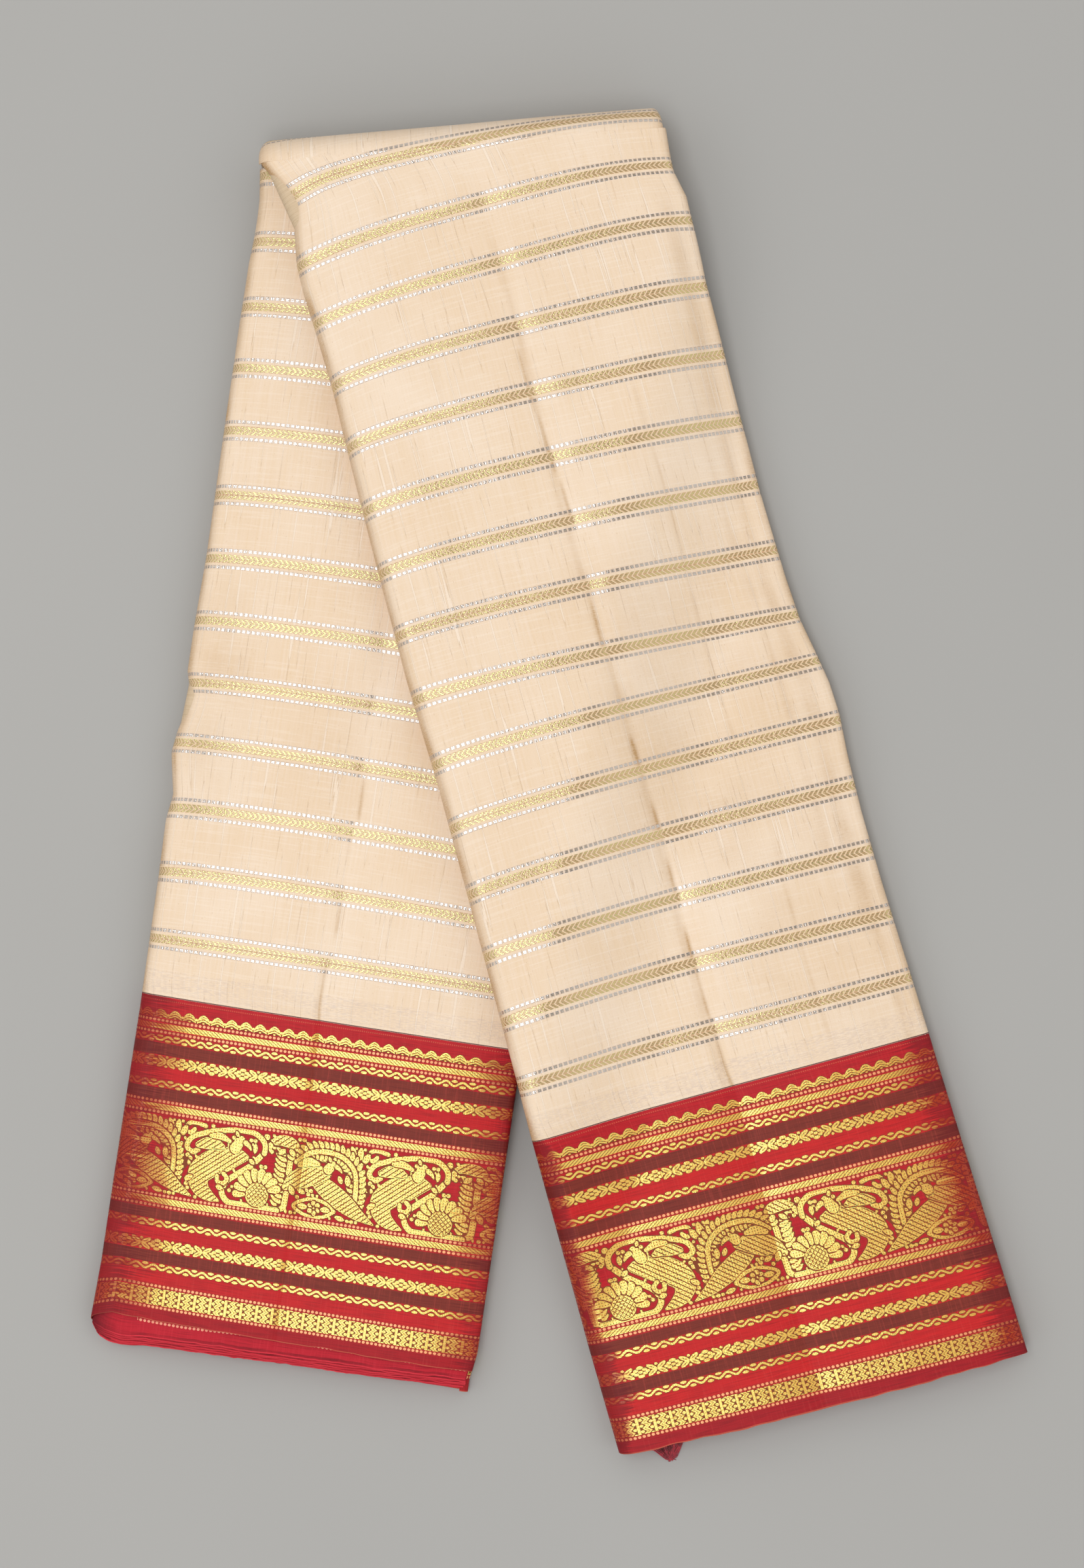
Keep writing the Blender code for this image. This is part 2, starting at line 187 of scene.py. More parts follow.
FRONT_SECTIONS = (
    Section("crease", -137.7, 288.0, 48.4, 303.9),
    Section("gusset", -126.7, 271.6, 51.2, 291.5),
    Section("first stripe", -119.1, 242.0, 55.9, 275.8),
    Section("second stripe", -112.2, 216.5, 64.5, 251.6),
    Section("upper field", -90.4, 130.8, 88.1, 171.2),
    Section("lower field", -50.9, -15.5, 129.9, 29.0),
    Section("join", -11.8, -162.2, 171.7, -113.1),
    Section("end", 28.0, -309.3, 216.6, -262.5),
)

BACK_SECTIONS = (
    Section("crease", -140.0, 288.5, 46.4, 304.4),
    Section("gusset", -141.6, 263.1, 40.0, 263.4),
    Section("upper field", -151.4, 203.3, 28.8, 190.0),
    Section("lower field", -164.4, 111.2, 12.5, 84.3),
    Section("join", -194.5, -94.5, -21.4, -121.0),
    Section("end", -215.3, -241.9, -42.2, -270.7),
)


def stripe_rows(*sides: tuple[float, float]) -> tuple[Stripe, ...]:
    """The stripes from the uppermost down, then the join and the free end.

    Args:
        sides: Where each meets the left and the right side of the leg, by its distance up the page.

    Returns:
        A row for each.
    """
    count = len(sides) - 2
    cloth = [round(LOWEST_STRIPE + STRIPE_PITCH * number, 1) for number in reversed(range(count))]
    return tuple(Stripe(up, *ends) for up, ends in zip([*cloth, 0.0, -BORDER_DEPTH], sides))


FRONT_STRIPES = stripe_rows(
    (302.0, 340.0), (271.5, 309.5), (240.3, 287.4), (213.8, 262.2), (184.2, 233.2), (155.9, 202.6),
    (126.6, 172.3), (98.4, 143.2), (69.6, 112.8), (40.3, 82.1), (10.3, 60.5), (-18.8, 32.4),
    (-49.2, 2.4), (-77.7, -27.1), (-107.4, -57.1), (-136.9, -86.9), (-162.2, -113.1),
    (-309.3, -262.5),
)

BACK_STRIPES = stripe_rows(
    (339.4, 317.2), (312.5, 288.8), (285.0, 260.0), (254.0, 227.8), (223.8, 198.6), (195.6, 170.8),
    (166.6, 141.6), (136.6, 112.2), (107.1, 82.6), (78.3, 53.0), (49.5, 23.6), (21.4, -6.0),
    (-8.7, -35.6), (-38.1, -65.0), (-68.8, -94.7), (-94.5, -121.0), (-241.9, -270.7),
)

# The slopes that many rows of the tilts end with, right of the middle crease.
FIELD_SLOPES = (-0.8, 2.6, 0.5, 0.5, 1.0)
BACK_SLOPES = (0.0, 0.0, 0.5, 1.0, 2.0)

TILT_SHARES = (0.0, 0.06, 0.2, 0.34, 0.46, 0.487, 0.495, 0.52, 0.57, 0.8, 0.93, 1.0)

FRONT_TILTS = (
    Tilt(-150.0, (1.0, -0.5, -0.6, -0.4, 1.5, 2.5, -4.0, -3.2, -0.8, 0.0, 1.5, 2.5)),
    Tilt(-75.0, (1.0, -0.5, -0.5, 0.4, 1.5, 2.5, -4.0, -3.0, -1.0, -0.6, 1.5, 2.5)),
    Tilt(-20.0, (1.0, -0.5, -0.4, 0.8, 1.5, 2.5, -3.6, -2.0, 0.3, 0.3, 1.5, 2.5)),
    Tilt(27.0, (1.0, -1.2, 0.5, 1.4, 1.7, 3.5, -3.0, 0.0, 0.2, 0.2, 0.5, 1.0)),
    Tilt(57.0, (1.0, -0.9, 1.2, 1.4, 1.7, 3.5, -3.0, *FIELD_SLOPES)),
    Tilt(87.0, (1.0, -1.2, -0.4, 1.4, 1.7, 3.5, -3.0, *FIELD_SLOPES)),
    Tilt(118.0, (2.0, 5.0, 1.2, 1.0, 1.4, 3.5, -2.6, *FIELD_SLOPES)),
    Tilt(148.0, (1.0, -1.2, -0.7, 1.4, 1.4, 3.5, -3.0, *FIELD_SLOPES)),
    Tilt(208.0, (1.0, -1.2, -1.3, 0.8, 1.7, 3.5, -3.0, *FIELD_SLOPES)),
    Tilt(238.0, (2.4, 5.6, 2.2, 1.4, 1.3, 3.5, -2.6, *FIELD_SLOPES)),
    Tilt(269.0, (1.0, 0.7, 2.3, 1.4, 1.3, 3.5, -3.0, *FIELD_SLOPES)),
    Tilt(299.0, (1.0, -0.9, 1.6, 1.4, 1.4, 3.5, -3.0, *FIELD_SLOPES)),
    Tilt(329.0, (1.0, -1.2, -1.0, 0.1, 2.3, 3.5, -3.0, *FIELD_SLOPES)),
    Tilt(359.0, (1.0, -1.2, -1.3, -0.5, 2.0, 2.1, -3.0, *FIELD_SLOPES)),
    Tilt(389.0, (1.0, -1.2, -1.3, -1.7, -1.1, -0.8, -2.6, -0.6, 2.6, 0.5, 0.5, 1.0)),
    Tilt(420.0, (1.0, -0.5, -0.8, -1.5, -2.2, -2.2, -2.8, -2.0, 0.6, 0.6, 0.6, 1.0)),
    Tilt(470.0, (0.0, -0.5, -0.8, -1.5, -2.2, -2.4, -2.8, -2.6, -2.6, 1.6, 2.2, 1.0)),
)

BACK_TILTS = (
    Tilt(-150.0, (-7.0, -5.5, -1.0, 0.0, 0.4, 1.8, -1.6, 0.0, 0.0, 0.5, 4.0, 7.0)),
    Tilt(-20.0, (-7.0, -5.5, -1.0, 0.0, 0.4, 1.8, -1.6, 0.0, 0.0, 0.5, 4.0, 7.0)),
    Tilt(20.0, (-4.0, -2.5, 0.0, 0.0, 0.2, 2.0, -1.6, *BACK_SLOPES)),
    Tilt(57.0, (-2.0, -0.5, 0.0, 0.0, 0.2, 2.0, -1.6, *BACK_SLOPES)),
    Tilt(87.0, (-6.0, -6.0, -1.5, 0.0, 1.2, 2.0, -1.6, *BACK_SLOPES)),
    Tilt(118.0, (-6.0, -6.0, 0.0, 0.0, 0.2, 2.0, -1.6, *BACK_SLOPES)),
    Tilt(148.0, (-5.0, -2.0, 0.0, 0.0, 0.2, 1.6, -1.2, *BACK_SLOPES)),
    Tilt(208.0, (-4.0, -0.5, 0.0, 0.0, 0.2, 1.2, -1.0, *BACK_SLOPES)),
    Tilt(460.0, (-4.0, -1.0, 0.0, 0.0, 0.2, 1.2, -1.0, *BACK_SLOPES)),
)

# For each side of a leg, distances up the page and how far it stands out past its straight run.
FRONT_RIGHT: Course = (
    (-262.0, 1.3), (-230.0, 1.1), (-160.0, 0.3), (-90.0, -0.3), (-40.0, -1.1), (-10.0, -0.9),
    (17.0, 0.3), (35.0, 2.0), (50.0, 1.6), (64.0, -0.5), (80.0, -3.2), (100.0, -4.1), (140.0, -4.3),
    (160.0, -3.6), (200.0, -3.0), (235.0, -2.5), (263.0, 0.2), (273.0, 1.3), (285.0, -0.8),
    (304.0, 0.3),
)

FRONT_LEFT: Course = (
    (-310.0, 0.4), (-260.0, 1.2), (-160.0, 1.2), (-130.0, 0.8), (0.0, 0.8), (50.0, 2.0),
    (130.0, 1.4), (184.0, 1.1), (215.0, 2.2), (229.0, 2.8), (242.0, 2.4), (256.0, 0.5),
    (269.0, -2.2), (283.0, -0.5), (290.0, 0.0),
)

BACK_LEFT: Course = (
    (-245.0, 3.0), (-220.0, 1.9), (-180.0, 1.5), (-100.0, 0.4), (-40.0, 0.6), (-14.0, 1.1),
    (-2.0, -0.6), (8.0, 1.4), (17.0, 3.1), (27.0, 1.8), (37.0, -0.8), (45.0, -1.8), (55.0, 1.2),
    (75.0, 1.2), (110.0, 0.2), (200.0, 0.0), (245.0, 1.1), (275.0, -0.6), (290.0, 0.0),
)

BACK_RIGHT: Course = (
    (-275.0, 0.6), (-262.0, 2.6), (-190.0, 3.5), (-120.0, 4.0), (-60.0, 0.5), (300.0, 0.0),
)

# The thickness of the pack at places across it, as a share of the leg's thickness.
ACROSS_PLACES = (0.00, 0.10, 0.22, 0.36, 0.46, 0.50, 0.54, 0.66, 0.80, 0.92, 1.00)
ACROSS = {
    Side.FRONT: (0.93, 0.99, 1.00, 1.00, 0.97, 0.94, 0.96, 0.99, 0.97, 0.91, 0.84),
    Side.BACK: (0.78, 0.90, 0.98, 1.00, 0.99, 0.97, 0.99, 1.00, 1.00, 0.96, 0.88),
}

BANDS = (
    Band(5.6, 9.8, Weave.SCALLOPS), Band(10.2, 11.6, Weave.DOTS), Band(12.3, 15.1, Weave.ROPE),
    Band(15.6, 17.0, Weave.DOTS), Band(17.4, 21.2, Weave.WAVE), Band(27.2, 32.7, Weave.LATTICE),
    Band(38.2, 42.2, Weave.WAVE), Band(47.7, 49.1, Weave.DOTS), Band(49.6, 52.4, Weave.ROPE),
    Band(52.7, 54.1, Weave.DOTS), Band(MOTIF_LOW, MOTIF_HIGH, Weave.BIRDS),
    Band(91.3, 92.7, Weave.DOTS), Band(93.1, 95.9, Weave.ROPE), Band(96.3, 97.7, Weave.DOTS),
    Band(103.2, 107.0, Weave.WAVE), Band(112.4, 117.9, Weave.LATTICE),
    Band(123.6, 127.5, Weave.WAVE), Band(133.5, 134.9, Weave.DOTS), Band(135.2, 143.4, Weave.BOXES),
    Band(143.5, 144.9, Weave.DOTS),
)

GROUNDS = (
    Ground(21.4, CRIMSON_GROUND), Ground(27.0, MAROON_GROUND), Ground(42.3, BRIGHT_GROUND),
    Ground(47.6, MAROON_GROUND), Ground(98.2, CRIMSON_GROUND), Ground(103.2, MAROON_GROUND),
    Ground(118.2, BRIGHT_GROUND), Ground(123.6, MAROON_GROUND), Ground(133.4, BRIGHT_GROUND),
    Ground(BORDER_DEPTH, CRIMSON_GROUND),
)


def blend(value: np.ndarray | float) -> np.ndarray | float:
    """Rises softly from 0 to 1 as the value goes from 0 to 1."""
    value = np.clip(value, 0.0, 1.0)
    return value * value * (3.0 - 2.0 * value)


def smooth_through(places: Iterable[float], values: Iterable, at: np.ndarray) -> np.ndarray:
    """A smooth curve through the given values.

    Args:
        places: Where the values are given, rising.
        values: A number or a row of numbers for each place.
        at: Where the curve is read.

    Returns:
        A value, or a row of them, for each reading.
    """
    places = np.asarray(places, float)
    values = np.asarray(values, float)
    slopes = np.gradient(values, places, axis=0)
    step = np.clip(np.searchsorted(places, at, side="right") - 1, 0, len(places) - 2)
    span = places[step + 1] - places[step]
    u = (at - places[step]) / span
    if values.ndim > 1:
        span = span[..., None]
        u = u[..., None]
    return (
        values[step] * (1 + 2 * u) * (1 - u) ** 2
        + values[step + 1] * u * u * (3 - 2 * u)
        + slopes[step] * span * u * (1 - u) ** 2
        - slopes[step + 1] * span * u * u * (1 - u)
    )


def running(steps: np.ndarray) -> np.ndarray:
    """The way gone before each step and after the last."""
    return np.concatenate([[0.0], np.cumsum(steps)])


def way(points: np.ndarray) -> np.ndarray:
    """The way gone along a row of points to each of them."""
    return running(np.linalg.norm(np.diff(points, axis=0), axis=1))


@dataclass(frozen=True)
class Ripple:
    """A soft uneven field, the same on each run.

    Args:
        seed: Chooses the field.
        shortest: The shortest wave in it, in millimetres.
        longest: The longest wave in it.
        waves: How many waves it is made of.
    """

    seed: int
    shortest: float
    longest: float
    waves: int = 14

    @cached_property
    def parts(self) -> tuple[np.ndarray, ...]:
        """The direction, length and phase of each wave."""
        rng = np.random.default_rng(self.seed)
        turn = rng.uniform(0, math.tau, self.waves)
        length = rng.uniform(self.shortest, self.longest, self.waves)
        return np.cos(turn) / length, np.sin(turn) / length, rng.uniform(0, math.tau, self.waves)

    def at(self, x: np.ndarray, y: np.ndarray) -> np.ndarray:
        """The height of the field, about -1 to 1."""
        total = np.zeros(np.broadcast(x, y).shape)
        for kx, ky, phase in zip(*self.parts):
            total += np.sin(math.tau * (kx * x + ky * y) + phase)
        return total / math.sqrt(self.waves / 2) / 2


@dataclass(frozen=True)
class Outline:
    """Where the points of a section lie round it, as counts of its five stretches.

    Args:
        underside: Shares across the flat of the underside, rising.
        turn: How many steps the round of the turned side takes.
        top: Shares across the flat of the top, rising.
        fold: How many steps each round of the folded side takes.
    """

    underside: np.ndarray
    turn: int
    top: np.ndarray
    fold: int


@dataclass(frozen=True)
class Leg:
    """One half of the folded pack, with the same form as its solids.

    Args:
        side: Which leg it is.
        sections: Its sections, from the crease to the free end.
        thickness: The thickness of the pack.
        end_thinning: How much of that is lost at the free end.
        end_shear: How much further the lowest cloth reaches at the free end.
        repeat_start: Where a repeat of the border begins, from the left edge.
        repeat_scale: How many millimetres of weave one millimetre across the leg shows.
        stripes: Where the stripes meet its sides.
        stripe_bow: How far the stripes bow towards the crease, in the field and near it.
        tilts: How the cloth slopes across it.
        left_wander: How its left side runs.
        right_wander: How its right side runs.
        seed: Chooses its unevenness.
    """

    side: Side
    sections: tuple[Section, ...]
    thickness: float
    end_thinning: float
    end_shear: float
    repeat_start: float
    repeat_scale: float
    stripes: tuple[Stripe, ...]
    stripe_bow: tuple[float, float]
    tilts: tuple[Tilt, ...]
    left_wander: Course
    right_wander: Course
    seed: int

    @property
    def corners(self) -> np.ndarray:
        """The left and right ends of the sections, four numbers for each."""
        return np.array([section[1:5] for section in self.sections], float)

    @cached_property
    def stations(self) -> np.ndarray:
        """The distance of each section from the first, along the middle of the leg."""
        return way((self.corners[:, :2] + self.corners[:, 2:]) / 2)

    @property
    def join(self) -> float:
        """The distance from the crease at which the border begins."""
        return float(self.stations[-2])

    @property
    def end(self) -> float:
        """The distance from the crease to the free end."""
        return float(self.stations[-1])

    def edges(self, along: np.ndarray) -> tuple[np.ndarray, np.ndarray]:
        """The two ends of some sections, which run on straight past the free end.

        Args:
            along: Distances from the crease.

        Returns:
            The left ends and the right ends.
        """
        corners = self.corners
        found = smooth_through(self.stations, corners, np.minimum(along, self.end))
        run = (corners[-1] - corners[-2]) / (self.stations[-1] - self.stations[-2])
        found = found + run * np.maximum(along - self.end, 0.0)[..., None]
        return found[..., :2], found[..., 2:]

    def width(self, along: np.ndarray) -> np.ndarray:
        """The distance across the leg."""
        left, right = self.edges(along)
        return np.linalg.norm(right - left, axis=-1)

    def cloth_at(self, along: np.ndarray, share: np.ndarray) -> np.ndarray:
        """How far up the cloth some places lie, with the bow of the stripes.

        Args:
            along: Distances from the crease.
            share: Shares across the leg, from its left edge.

        Returns:
            The weave coordinate v of each place.
        """
        left, right = self.edges(along)
        rows = sorted(self.stripes)
        cloth = [row.cloth for row in rows]
        low = np.interp(left[..., 1], [row.left_y for row in rows], cloth)
        high = np.interp(right[..., 1], [row.right_y for row in rows], cloth)
        found = low + (high - low) * share
        skew = share**0.6
        field_bow, crease_bow = self.stripe_bow
        bow = field_bow + (crease_bow - field_bow) * blend((found - BOW_GROWS_FROM) / BOW_GROWS_OVER)
        even = blend((found - BOW_EVENS_FROM) / BOW_EVENS_OVER) * (self.side is Side.FRONT)
        shape = 4 * skew * (1 - skew) * (1 - even) + (1 - (2 * share - 1) ** 4) * even
        return found - shape * bow * blend(found / BOW_STARTS_OVER)

    def turn_reach(self, along: np.ndarray) -> np.ndarray:
        """How far the round of the turned side reaches in."""
        grown = blend((along - self.join) / WIDENING_RUN + 0.5)
        return FIELD_TURN_REACH + (BORDER_TURN_REACH - FIELD_TURN_REACH) * grown

    def underside(self, place: np.ndarray) -> np.ndarray:
        """The height of the lowest cloth, which comes down off the back leg at its folded side.

        Args:
            place: Places in plan.

        Returns:
            The height above the surface at each.
        """
        if self.side is Side.BACK:
            return np.zeros(place.shape[:-1])
        top, join = BACK_SECTIONS[0], BACK_SECTIONS[4]
        run = np.array([join.right_x - top.right_x, join.right_y - top.right_y])
        run /= np.linalg.norm(run)
        past = (place[..., 0] - top.right_x) * -run[1] + (place[..., 1] - top.right_y) * run[0]
        return (PACK_THICKNESS + GAP) * (1.0 - blend((past - DROP_START) / DROP_RUN))

    def pack(self, along: np.ndarray, share: np.ndarray) -> np.ndarray:
        """The thickness of the pack.

        Args:
            along: Distances from the crease.
            share: Shares across the leg.

        Returns:
            The thickness at each place.
        """
        found = smooth_through(ACROSS_PLACES, ACROSS[self.side], share)
        thinned = self.end_thinning * blend((along - self.join) / (self.end - self.join))
        return (self.thickness - thinned) * found

    @cached_property
    def bends(self) -> tuple[np.ndarray, np.ndarray, list[np.ndarray]]:
        """Added height across the leg at each row of the tilts, worked out from the slopes."""
        shares = np.linspace(0.0, 1.0, 721)
        step = float(self.width(np.array(self.join))) / (len(shares) - 1)
        heights = []
        for row in self.tilts:
            slope = np.interp(shares, TILT_SHARES, row.degrees)
            height = -np.cumsum(np.tan(np.radians(slope))) * step
            heights.append(height - height.mean())
        return shares, np.array([row.cloth for row in self.tilts]), heights

    def relief(self, along: np.ndarray, share: np.ndarray) -> np.ndarray:
        """How far the outer cloth stands above the solid's top, with its creases and ripples.

        Args:
            along: Distances from the crease.
            share: Shares across the leg.

        Returns:
            The added height at each place.
        """
        shares, cloths, heights = self.bends
        cloth = self.join - along
        bend = np.zeros(np.broadcast(along, share).shape)
        for number, height in enumerate(heights):
            weight = np.interp(cloth, cloths, np.eye(len(cloths))[number])
            bend = bend + weight * np.interp(share, shares, height)
        across = share * COUNTED_WIDTH
        soft = Ripple(self.seed, 60.0, 140.0).at(across, along) * SOFT_RIPPLE
        fine = Ripple(self.seed + 1, 14.0, 34.0).at(across, along * 0.6) * FINE_RIPPLE
        return bend + soft + fine + self.mid_creases(along, share)

    def wander(self, along: np.ndarray, share: np.ndarray) -> np.ndarray:
        """How far the plan of the outer cloth moves across the leg near its two sides.

        Args:
            along: Distances from the crease.
            share: Shares across the leg.

        Returns:
            The move to the right at each place.
        """
        left, right = self.edges(along)
        near_left = blend(1 - share / SIDE_SHARE)
        near_right = blend(1 - (1 - share) / SIDE_SHARE)
        at_left = np.interp(left[..., 1], *zip(*self.left_wander))
        at_right = np.interp(right[..., 1], *zip(*self.right_wander))
        return at_right * near_right - at_left * near_left

    def marks(self, along: np.ndarray, share: np.ndarray) -> Iterator[tuple[np.ndarray, float, np.ndarray]]:
        """The crease marks of the leg, one after the other.

        Args:
            along: Distances from the crease.
            share: Shares across the leg.

        Yields:
            The distance from its line, its depth, and 1 where it holds.
        """
        for start, stop, place, deep in CREASE_MARKS[self.side]:
            line = place + CREASE_SWAY * np.sin(along / CREASE_SWAY_RUN)
            window = blend((along - start) / CREASE_FADE) * blend((stop - along) / CREASE_FADE)
            yield np.abs(share - line) * COUNTED_WIDTH, deep, window

    def mid_creases(self, along: np.ndarray, share: np.ndarray) -> np.ndarray:
        """The broken soft troughs that an earlier folding left along the leg.

        Args:
            along: Distances from the crease.
            share: Shares across the leg.

        Returns:
            Their heights, at most 0.
        """
        depth = np.zeros(np.broadcast(along, share).shape)
        for off, deep, window in self.marks(along, share):
            depth -= 0.6 * deep * np.exp(-((off / 1.7) ** 1.3)) * window
        return depth

    @cached_property
    def girth_width(self) -> float:
        """The width of the leg that its weave coordinates are counted on."""
        return float(self.width(np.array([(self.join + self.end) / 2]))[0])

    def repeat_at(self, girth: np.ndarray) -> np.ndarray:
        """Where in the repeat of the border a distance round the leg lies."""
        return (girth - self.repeat_start) * self.repeat_scale

    def crease_shade(self, along: np.ndarray, share: np.ndarray) -> np.ndarray:
        """How much the cloth is browned by painted shade along its creases, at its sides and in broad
        patches, and by a fold below showing through.

        Args:
            along: Distances from the crease.
            share: Shares across the leg.

        Returns:
            A number from 0 to 1 at each place.
        """
        tone = np.zeros(np.broadcast(along, share).shape)
        for off, deep, window in self.marks(along, share):
            tone += 1.1 * deep * np.exp(-((off / 0.8) ** 1.5)) * window
        for start, stop, place, half, strength in SHADES[self.side]:
            off = np.abs(share - place - SHADE_SWAY * np.sin(along / SHADE_SWAY_RUN)) * COUNTED_WIDTH
            window = blend((along - start) / SHADE_FADE) * blend((stop - along) / SHADE_FADE)
            tone += strength * np.exp(-((off / half) ** 2)) * window
        uneven = Ripple(self.seed + 9, 12.0, 50.0).at(share * COUNTED_WIDTH, along)
        return np.clip(tone * (0.8 + 0.4 * uneven), 0.0, 1.0)

    def place(self, along: np.ndarray, across: np.ndarray, height: np.ndarray, inset: float) -> np.ndarray:
        """Points of some sections.

        Args:
            along: Distances from the crease.
            across: Distances from the left edge.
            height: From 0 at the underside to 1 on top.
            inset: How far inside the outer cloth 0 and 1 lie.

        Returns:
            The points, in millimetres.
        """
        left, right = self.edges(along)
        span = right - left
        width = np.linalg.norm(span, axis=-1)
        held = np.clip(across, self.turn_reach(along), width - FOLD_SIDE_REACH)
        held_plan = left + span * (held / width)[..., None]
        plan = left + span * (across / width)[..., None]
        plan = plan + span * (self.wander(along, across / width) / width)[..., None]
        low = self.underside(held_plan) + inset
        high = low - 2 * inset + self.pack(along, held / width)
        rise = low + (high - low) * height
        rise = rise + self.relief(along, held / width) * np.clip(2 * height - 1, 0, 1)
        return np.concatenate([plan, rise[..., None]], axis=-1)

    def half_share(self, along: np.ndarray, inset: float) -> np.ndarray:
        """How much of the height between the insets one half of the pack takes at the folds."""
        whole = self.pack(along, 1 - FOLD_SIDE_REACH / self.width(along))
        return ((whole - PARTING_HEIGHT) / 2 - 2 * inset) / (whole - 2 * inset)

    def skin(self, along: np.ndarray, outline: Outline, inset: float) -> tuple[np.ndarray, np.ndarray]:
        """The points round some sections, from the parting round the turned side and back to it.

        Args:
            along: The distance of each section from the crease.
            outline: Where the points of a section lie.
            inset: How far inside the outer cloth they lie.

        Returns:
            The points, a row for each section, and their weave coordinates u and v.
        """
        rows = along[:, None]
        shear = self.end_shear * blend((rows - self.end + SHEAR_RUN) / SHEAR_RUN)
        reach = self.turn_reach(rows)
        flat = self.width(rows) - reach - FOLD_SIDE_REACH
        angle = np.linspace(0.0, math.pi, outline.fold + 1)[None, :]
        bend = np.linspace(0.0, 1.0, outline.turn + 1)[None, 1:-1]
        lobe = (1 - np.cos(angle)) / 2
        out = (FOLD_SIDE_REACH - inset) * np.sin(angle)
        low_fold = self.width(rows + shear) - FOLD_SIDE_REACH + out
        low_rise = self.half_share(rows + shear, inset) * lobe
        turn = math.pi * (bend - 0.5)
        turned = reach - (reach - inset) * np.cos(turn)
        stretches = (
            (rows + shear, low_fold[:, ::-1], low_rise[:, ::-1]),
            (rows + shear, reach + flat * outline.underside[None, ::-1][:, 1:], 0.0),
            (rows + shear * (1 - bend), turned, (1 + np.sin(turn)) / 2),
            (rows, reach + flat * outline.top[None, :-1], 1.0),
            (rows, self.width(rows) - FOLD_SIDE_REACH + out, 1 - self.half_share(rows, inset) * lobe),
        )
        grids = [np.broadcast_arrays(*stretch) for stretch in stretches]
        place, across, height = (np.concatenate(column, axis=1) for column in zip(*grids))
        points = self.place(place, across, height, inset)
        share = np.clip(across / self.width(rows), 0.0, 1.0)
        cloth = self.cloth_at(np.broadcast_to(rows, share.shape), share)
        return points, np.stack([np.broadcast_to(self.girth(outline), cloth.shape), cloth], axis=-1)

    def girth(self, outline: Outline) -> np.ndarray:
        """How far along the saree, u, the points of a section lie, counted from the left edge.

        Args:
            outline: Where the points of a section lie.

        Returns:
            The distance round the leg to each point.
        """
        reach = float(self.turn_reach(np.array([(self.join + self.end) / 2]))[0])
        flat = self.girth_width - reach - FOLD_SIDE_REACH
        top = reach + flat * outline.top
        half = self.thickness / 2
        bend = math.pi * (np.linspace(0.0, 1.0, outline.turn + 1) - 0.5)
        step = np.hypot(np.diff(reach * np.cos(bend)), np.diff(half * np.sin(bend)))
        round_turn = running(step[::-1])[::-1]
        angle = np.linspace(0.0, math.pi, outline.fold + 1)
        step = np.hypot(np.diff(FOLD_SIDE_REACH * np.sin(angle)), np.diff(half / 4 * np.cos(angle)))
        round_fold = running(step)
        below = reach - round_turn[0] - flat * outline.underside
        low = [(below[-1] - round_fold)[::-1], below[::-1][1:]]
        return np.concatenate([*low, (reach - round_turn)[1:-1], top[:-1], top[-1] + round_fold])


# Where each crease mark starts and stops along the leg, its place across, and its depth.
CREASE_MARKS = {
    Side.FRONT: (
        (95.0, 128.0, 0.487, 0.55), (126.0, 160.0, 0.492, 0.75), (158.0, 186.0, 0.497, 0.70),
        (214.0, 246.0, 0.493, 0.65), (280.0, 306.0, 0.497, 0.75), (312.0, 338.0, 0.500, 0.80),
        (338.0, 366.0, 0.500, 0.75), (372.0, 640.0, 0.502, 0.70), (120.0, 300.0, 0.742, 0.22),
        (330.0, 470.0, 0.765, 0.20),
    ),
    Side.BACK: (
        (290.0, 318.0, 0.505, 0.55), (318.0, 336.0, 0.490, 0.40), (350.0, 372.0, 0.497, 0.60),
        (378.0, 640.0, 0.486, 0.60),
    ),
}

# Where each line or patch of painted shade, partly a fold below showing through, starts and stops, its place
# across, its half width, and its strength.
SHADES = {
    Side.FRONT: (
        (-60.0, 500.0, 1.0, 2.2, 0.42), (30.0, 520.0, 0.492, 1.9, 0.26),
        (20.0, 420.0, 0.938, 3.2, 0.30), (120.0, 400.0, 0.885, 1.6, 0.22),
        (330.0, 520.0, 0.958, 2.4, 0.30), (-60.0, 500.0, 0.0, 3.4, 0.75),
        (180.0, 520.0, 0.87, 22.0, 0.12), (180.0, 360.0, 0.56, 26.0, 0.16),
        (300.0, 440.0, 0.70, 15.0, 0.12), (-40.0, 140.0, 0.27, 0.9, 0.12),
    ),
    Side.BACK: (
        (-60.0, 500.0, 0.0, 3.2, 0.60), (200.0, 330.0, 0.10, 16.0, 0.18),
        (230.0, 330.0, 0.40, 24.0, 0.12),
    ),
}

# How far the lowest cloth of the back leg shows past its free end, at shares across.
BACK_LIP = (
    (0.0, 0.02, 0.045, 0.08, 0.13, 0.2, 0.34, 0.48, 0.62, 0.74, 0.86, 1.0),
    (8.6, 12.4, 14.6, 15.6, 14.4, 13.8, 12.9, 12.1, 11.5, 11.0, 10.2, 9.4),
)

# How far the gold wears off the border near its sides and is painted dull there, with the ground in painted
# shade, at shares across. Those below 0 lie round the turned side.
FADED_AND_SHADED = {
    Side.FRONT: (
        (-0.16, -0.06, 0.0, 0.025, 0.04, 0.058, 0.12, 0.6, 0.85, 0.90, 0.935, 0.965, 1.0),
        (0.0, 0.6, 0.85, 0.8, 0.62, 0.1, 0.0, 0.0, 0.2, 0.42, 0.62, 0.8, 0.85),
    ),
    Side.BACK: (
        (-0.16, -0.06, 0.0, 0.04, 0.07, 0.10, 0.135, 0.16, 0.88, 0.92, 0.95, 1.0),
        (0.0, 0.6, 0.9, 0.78, 0.66, 0.56, 0.44, 0.0, 0.0, 0.4, 0.55, 0.8),
    ),
}

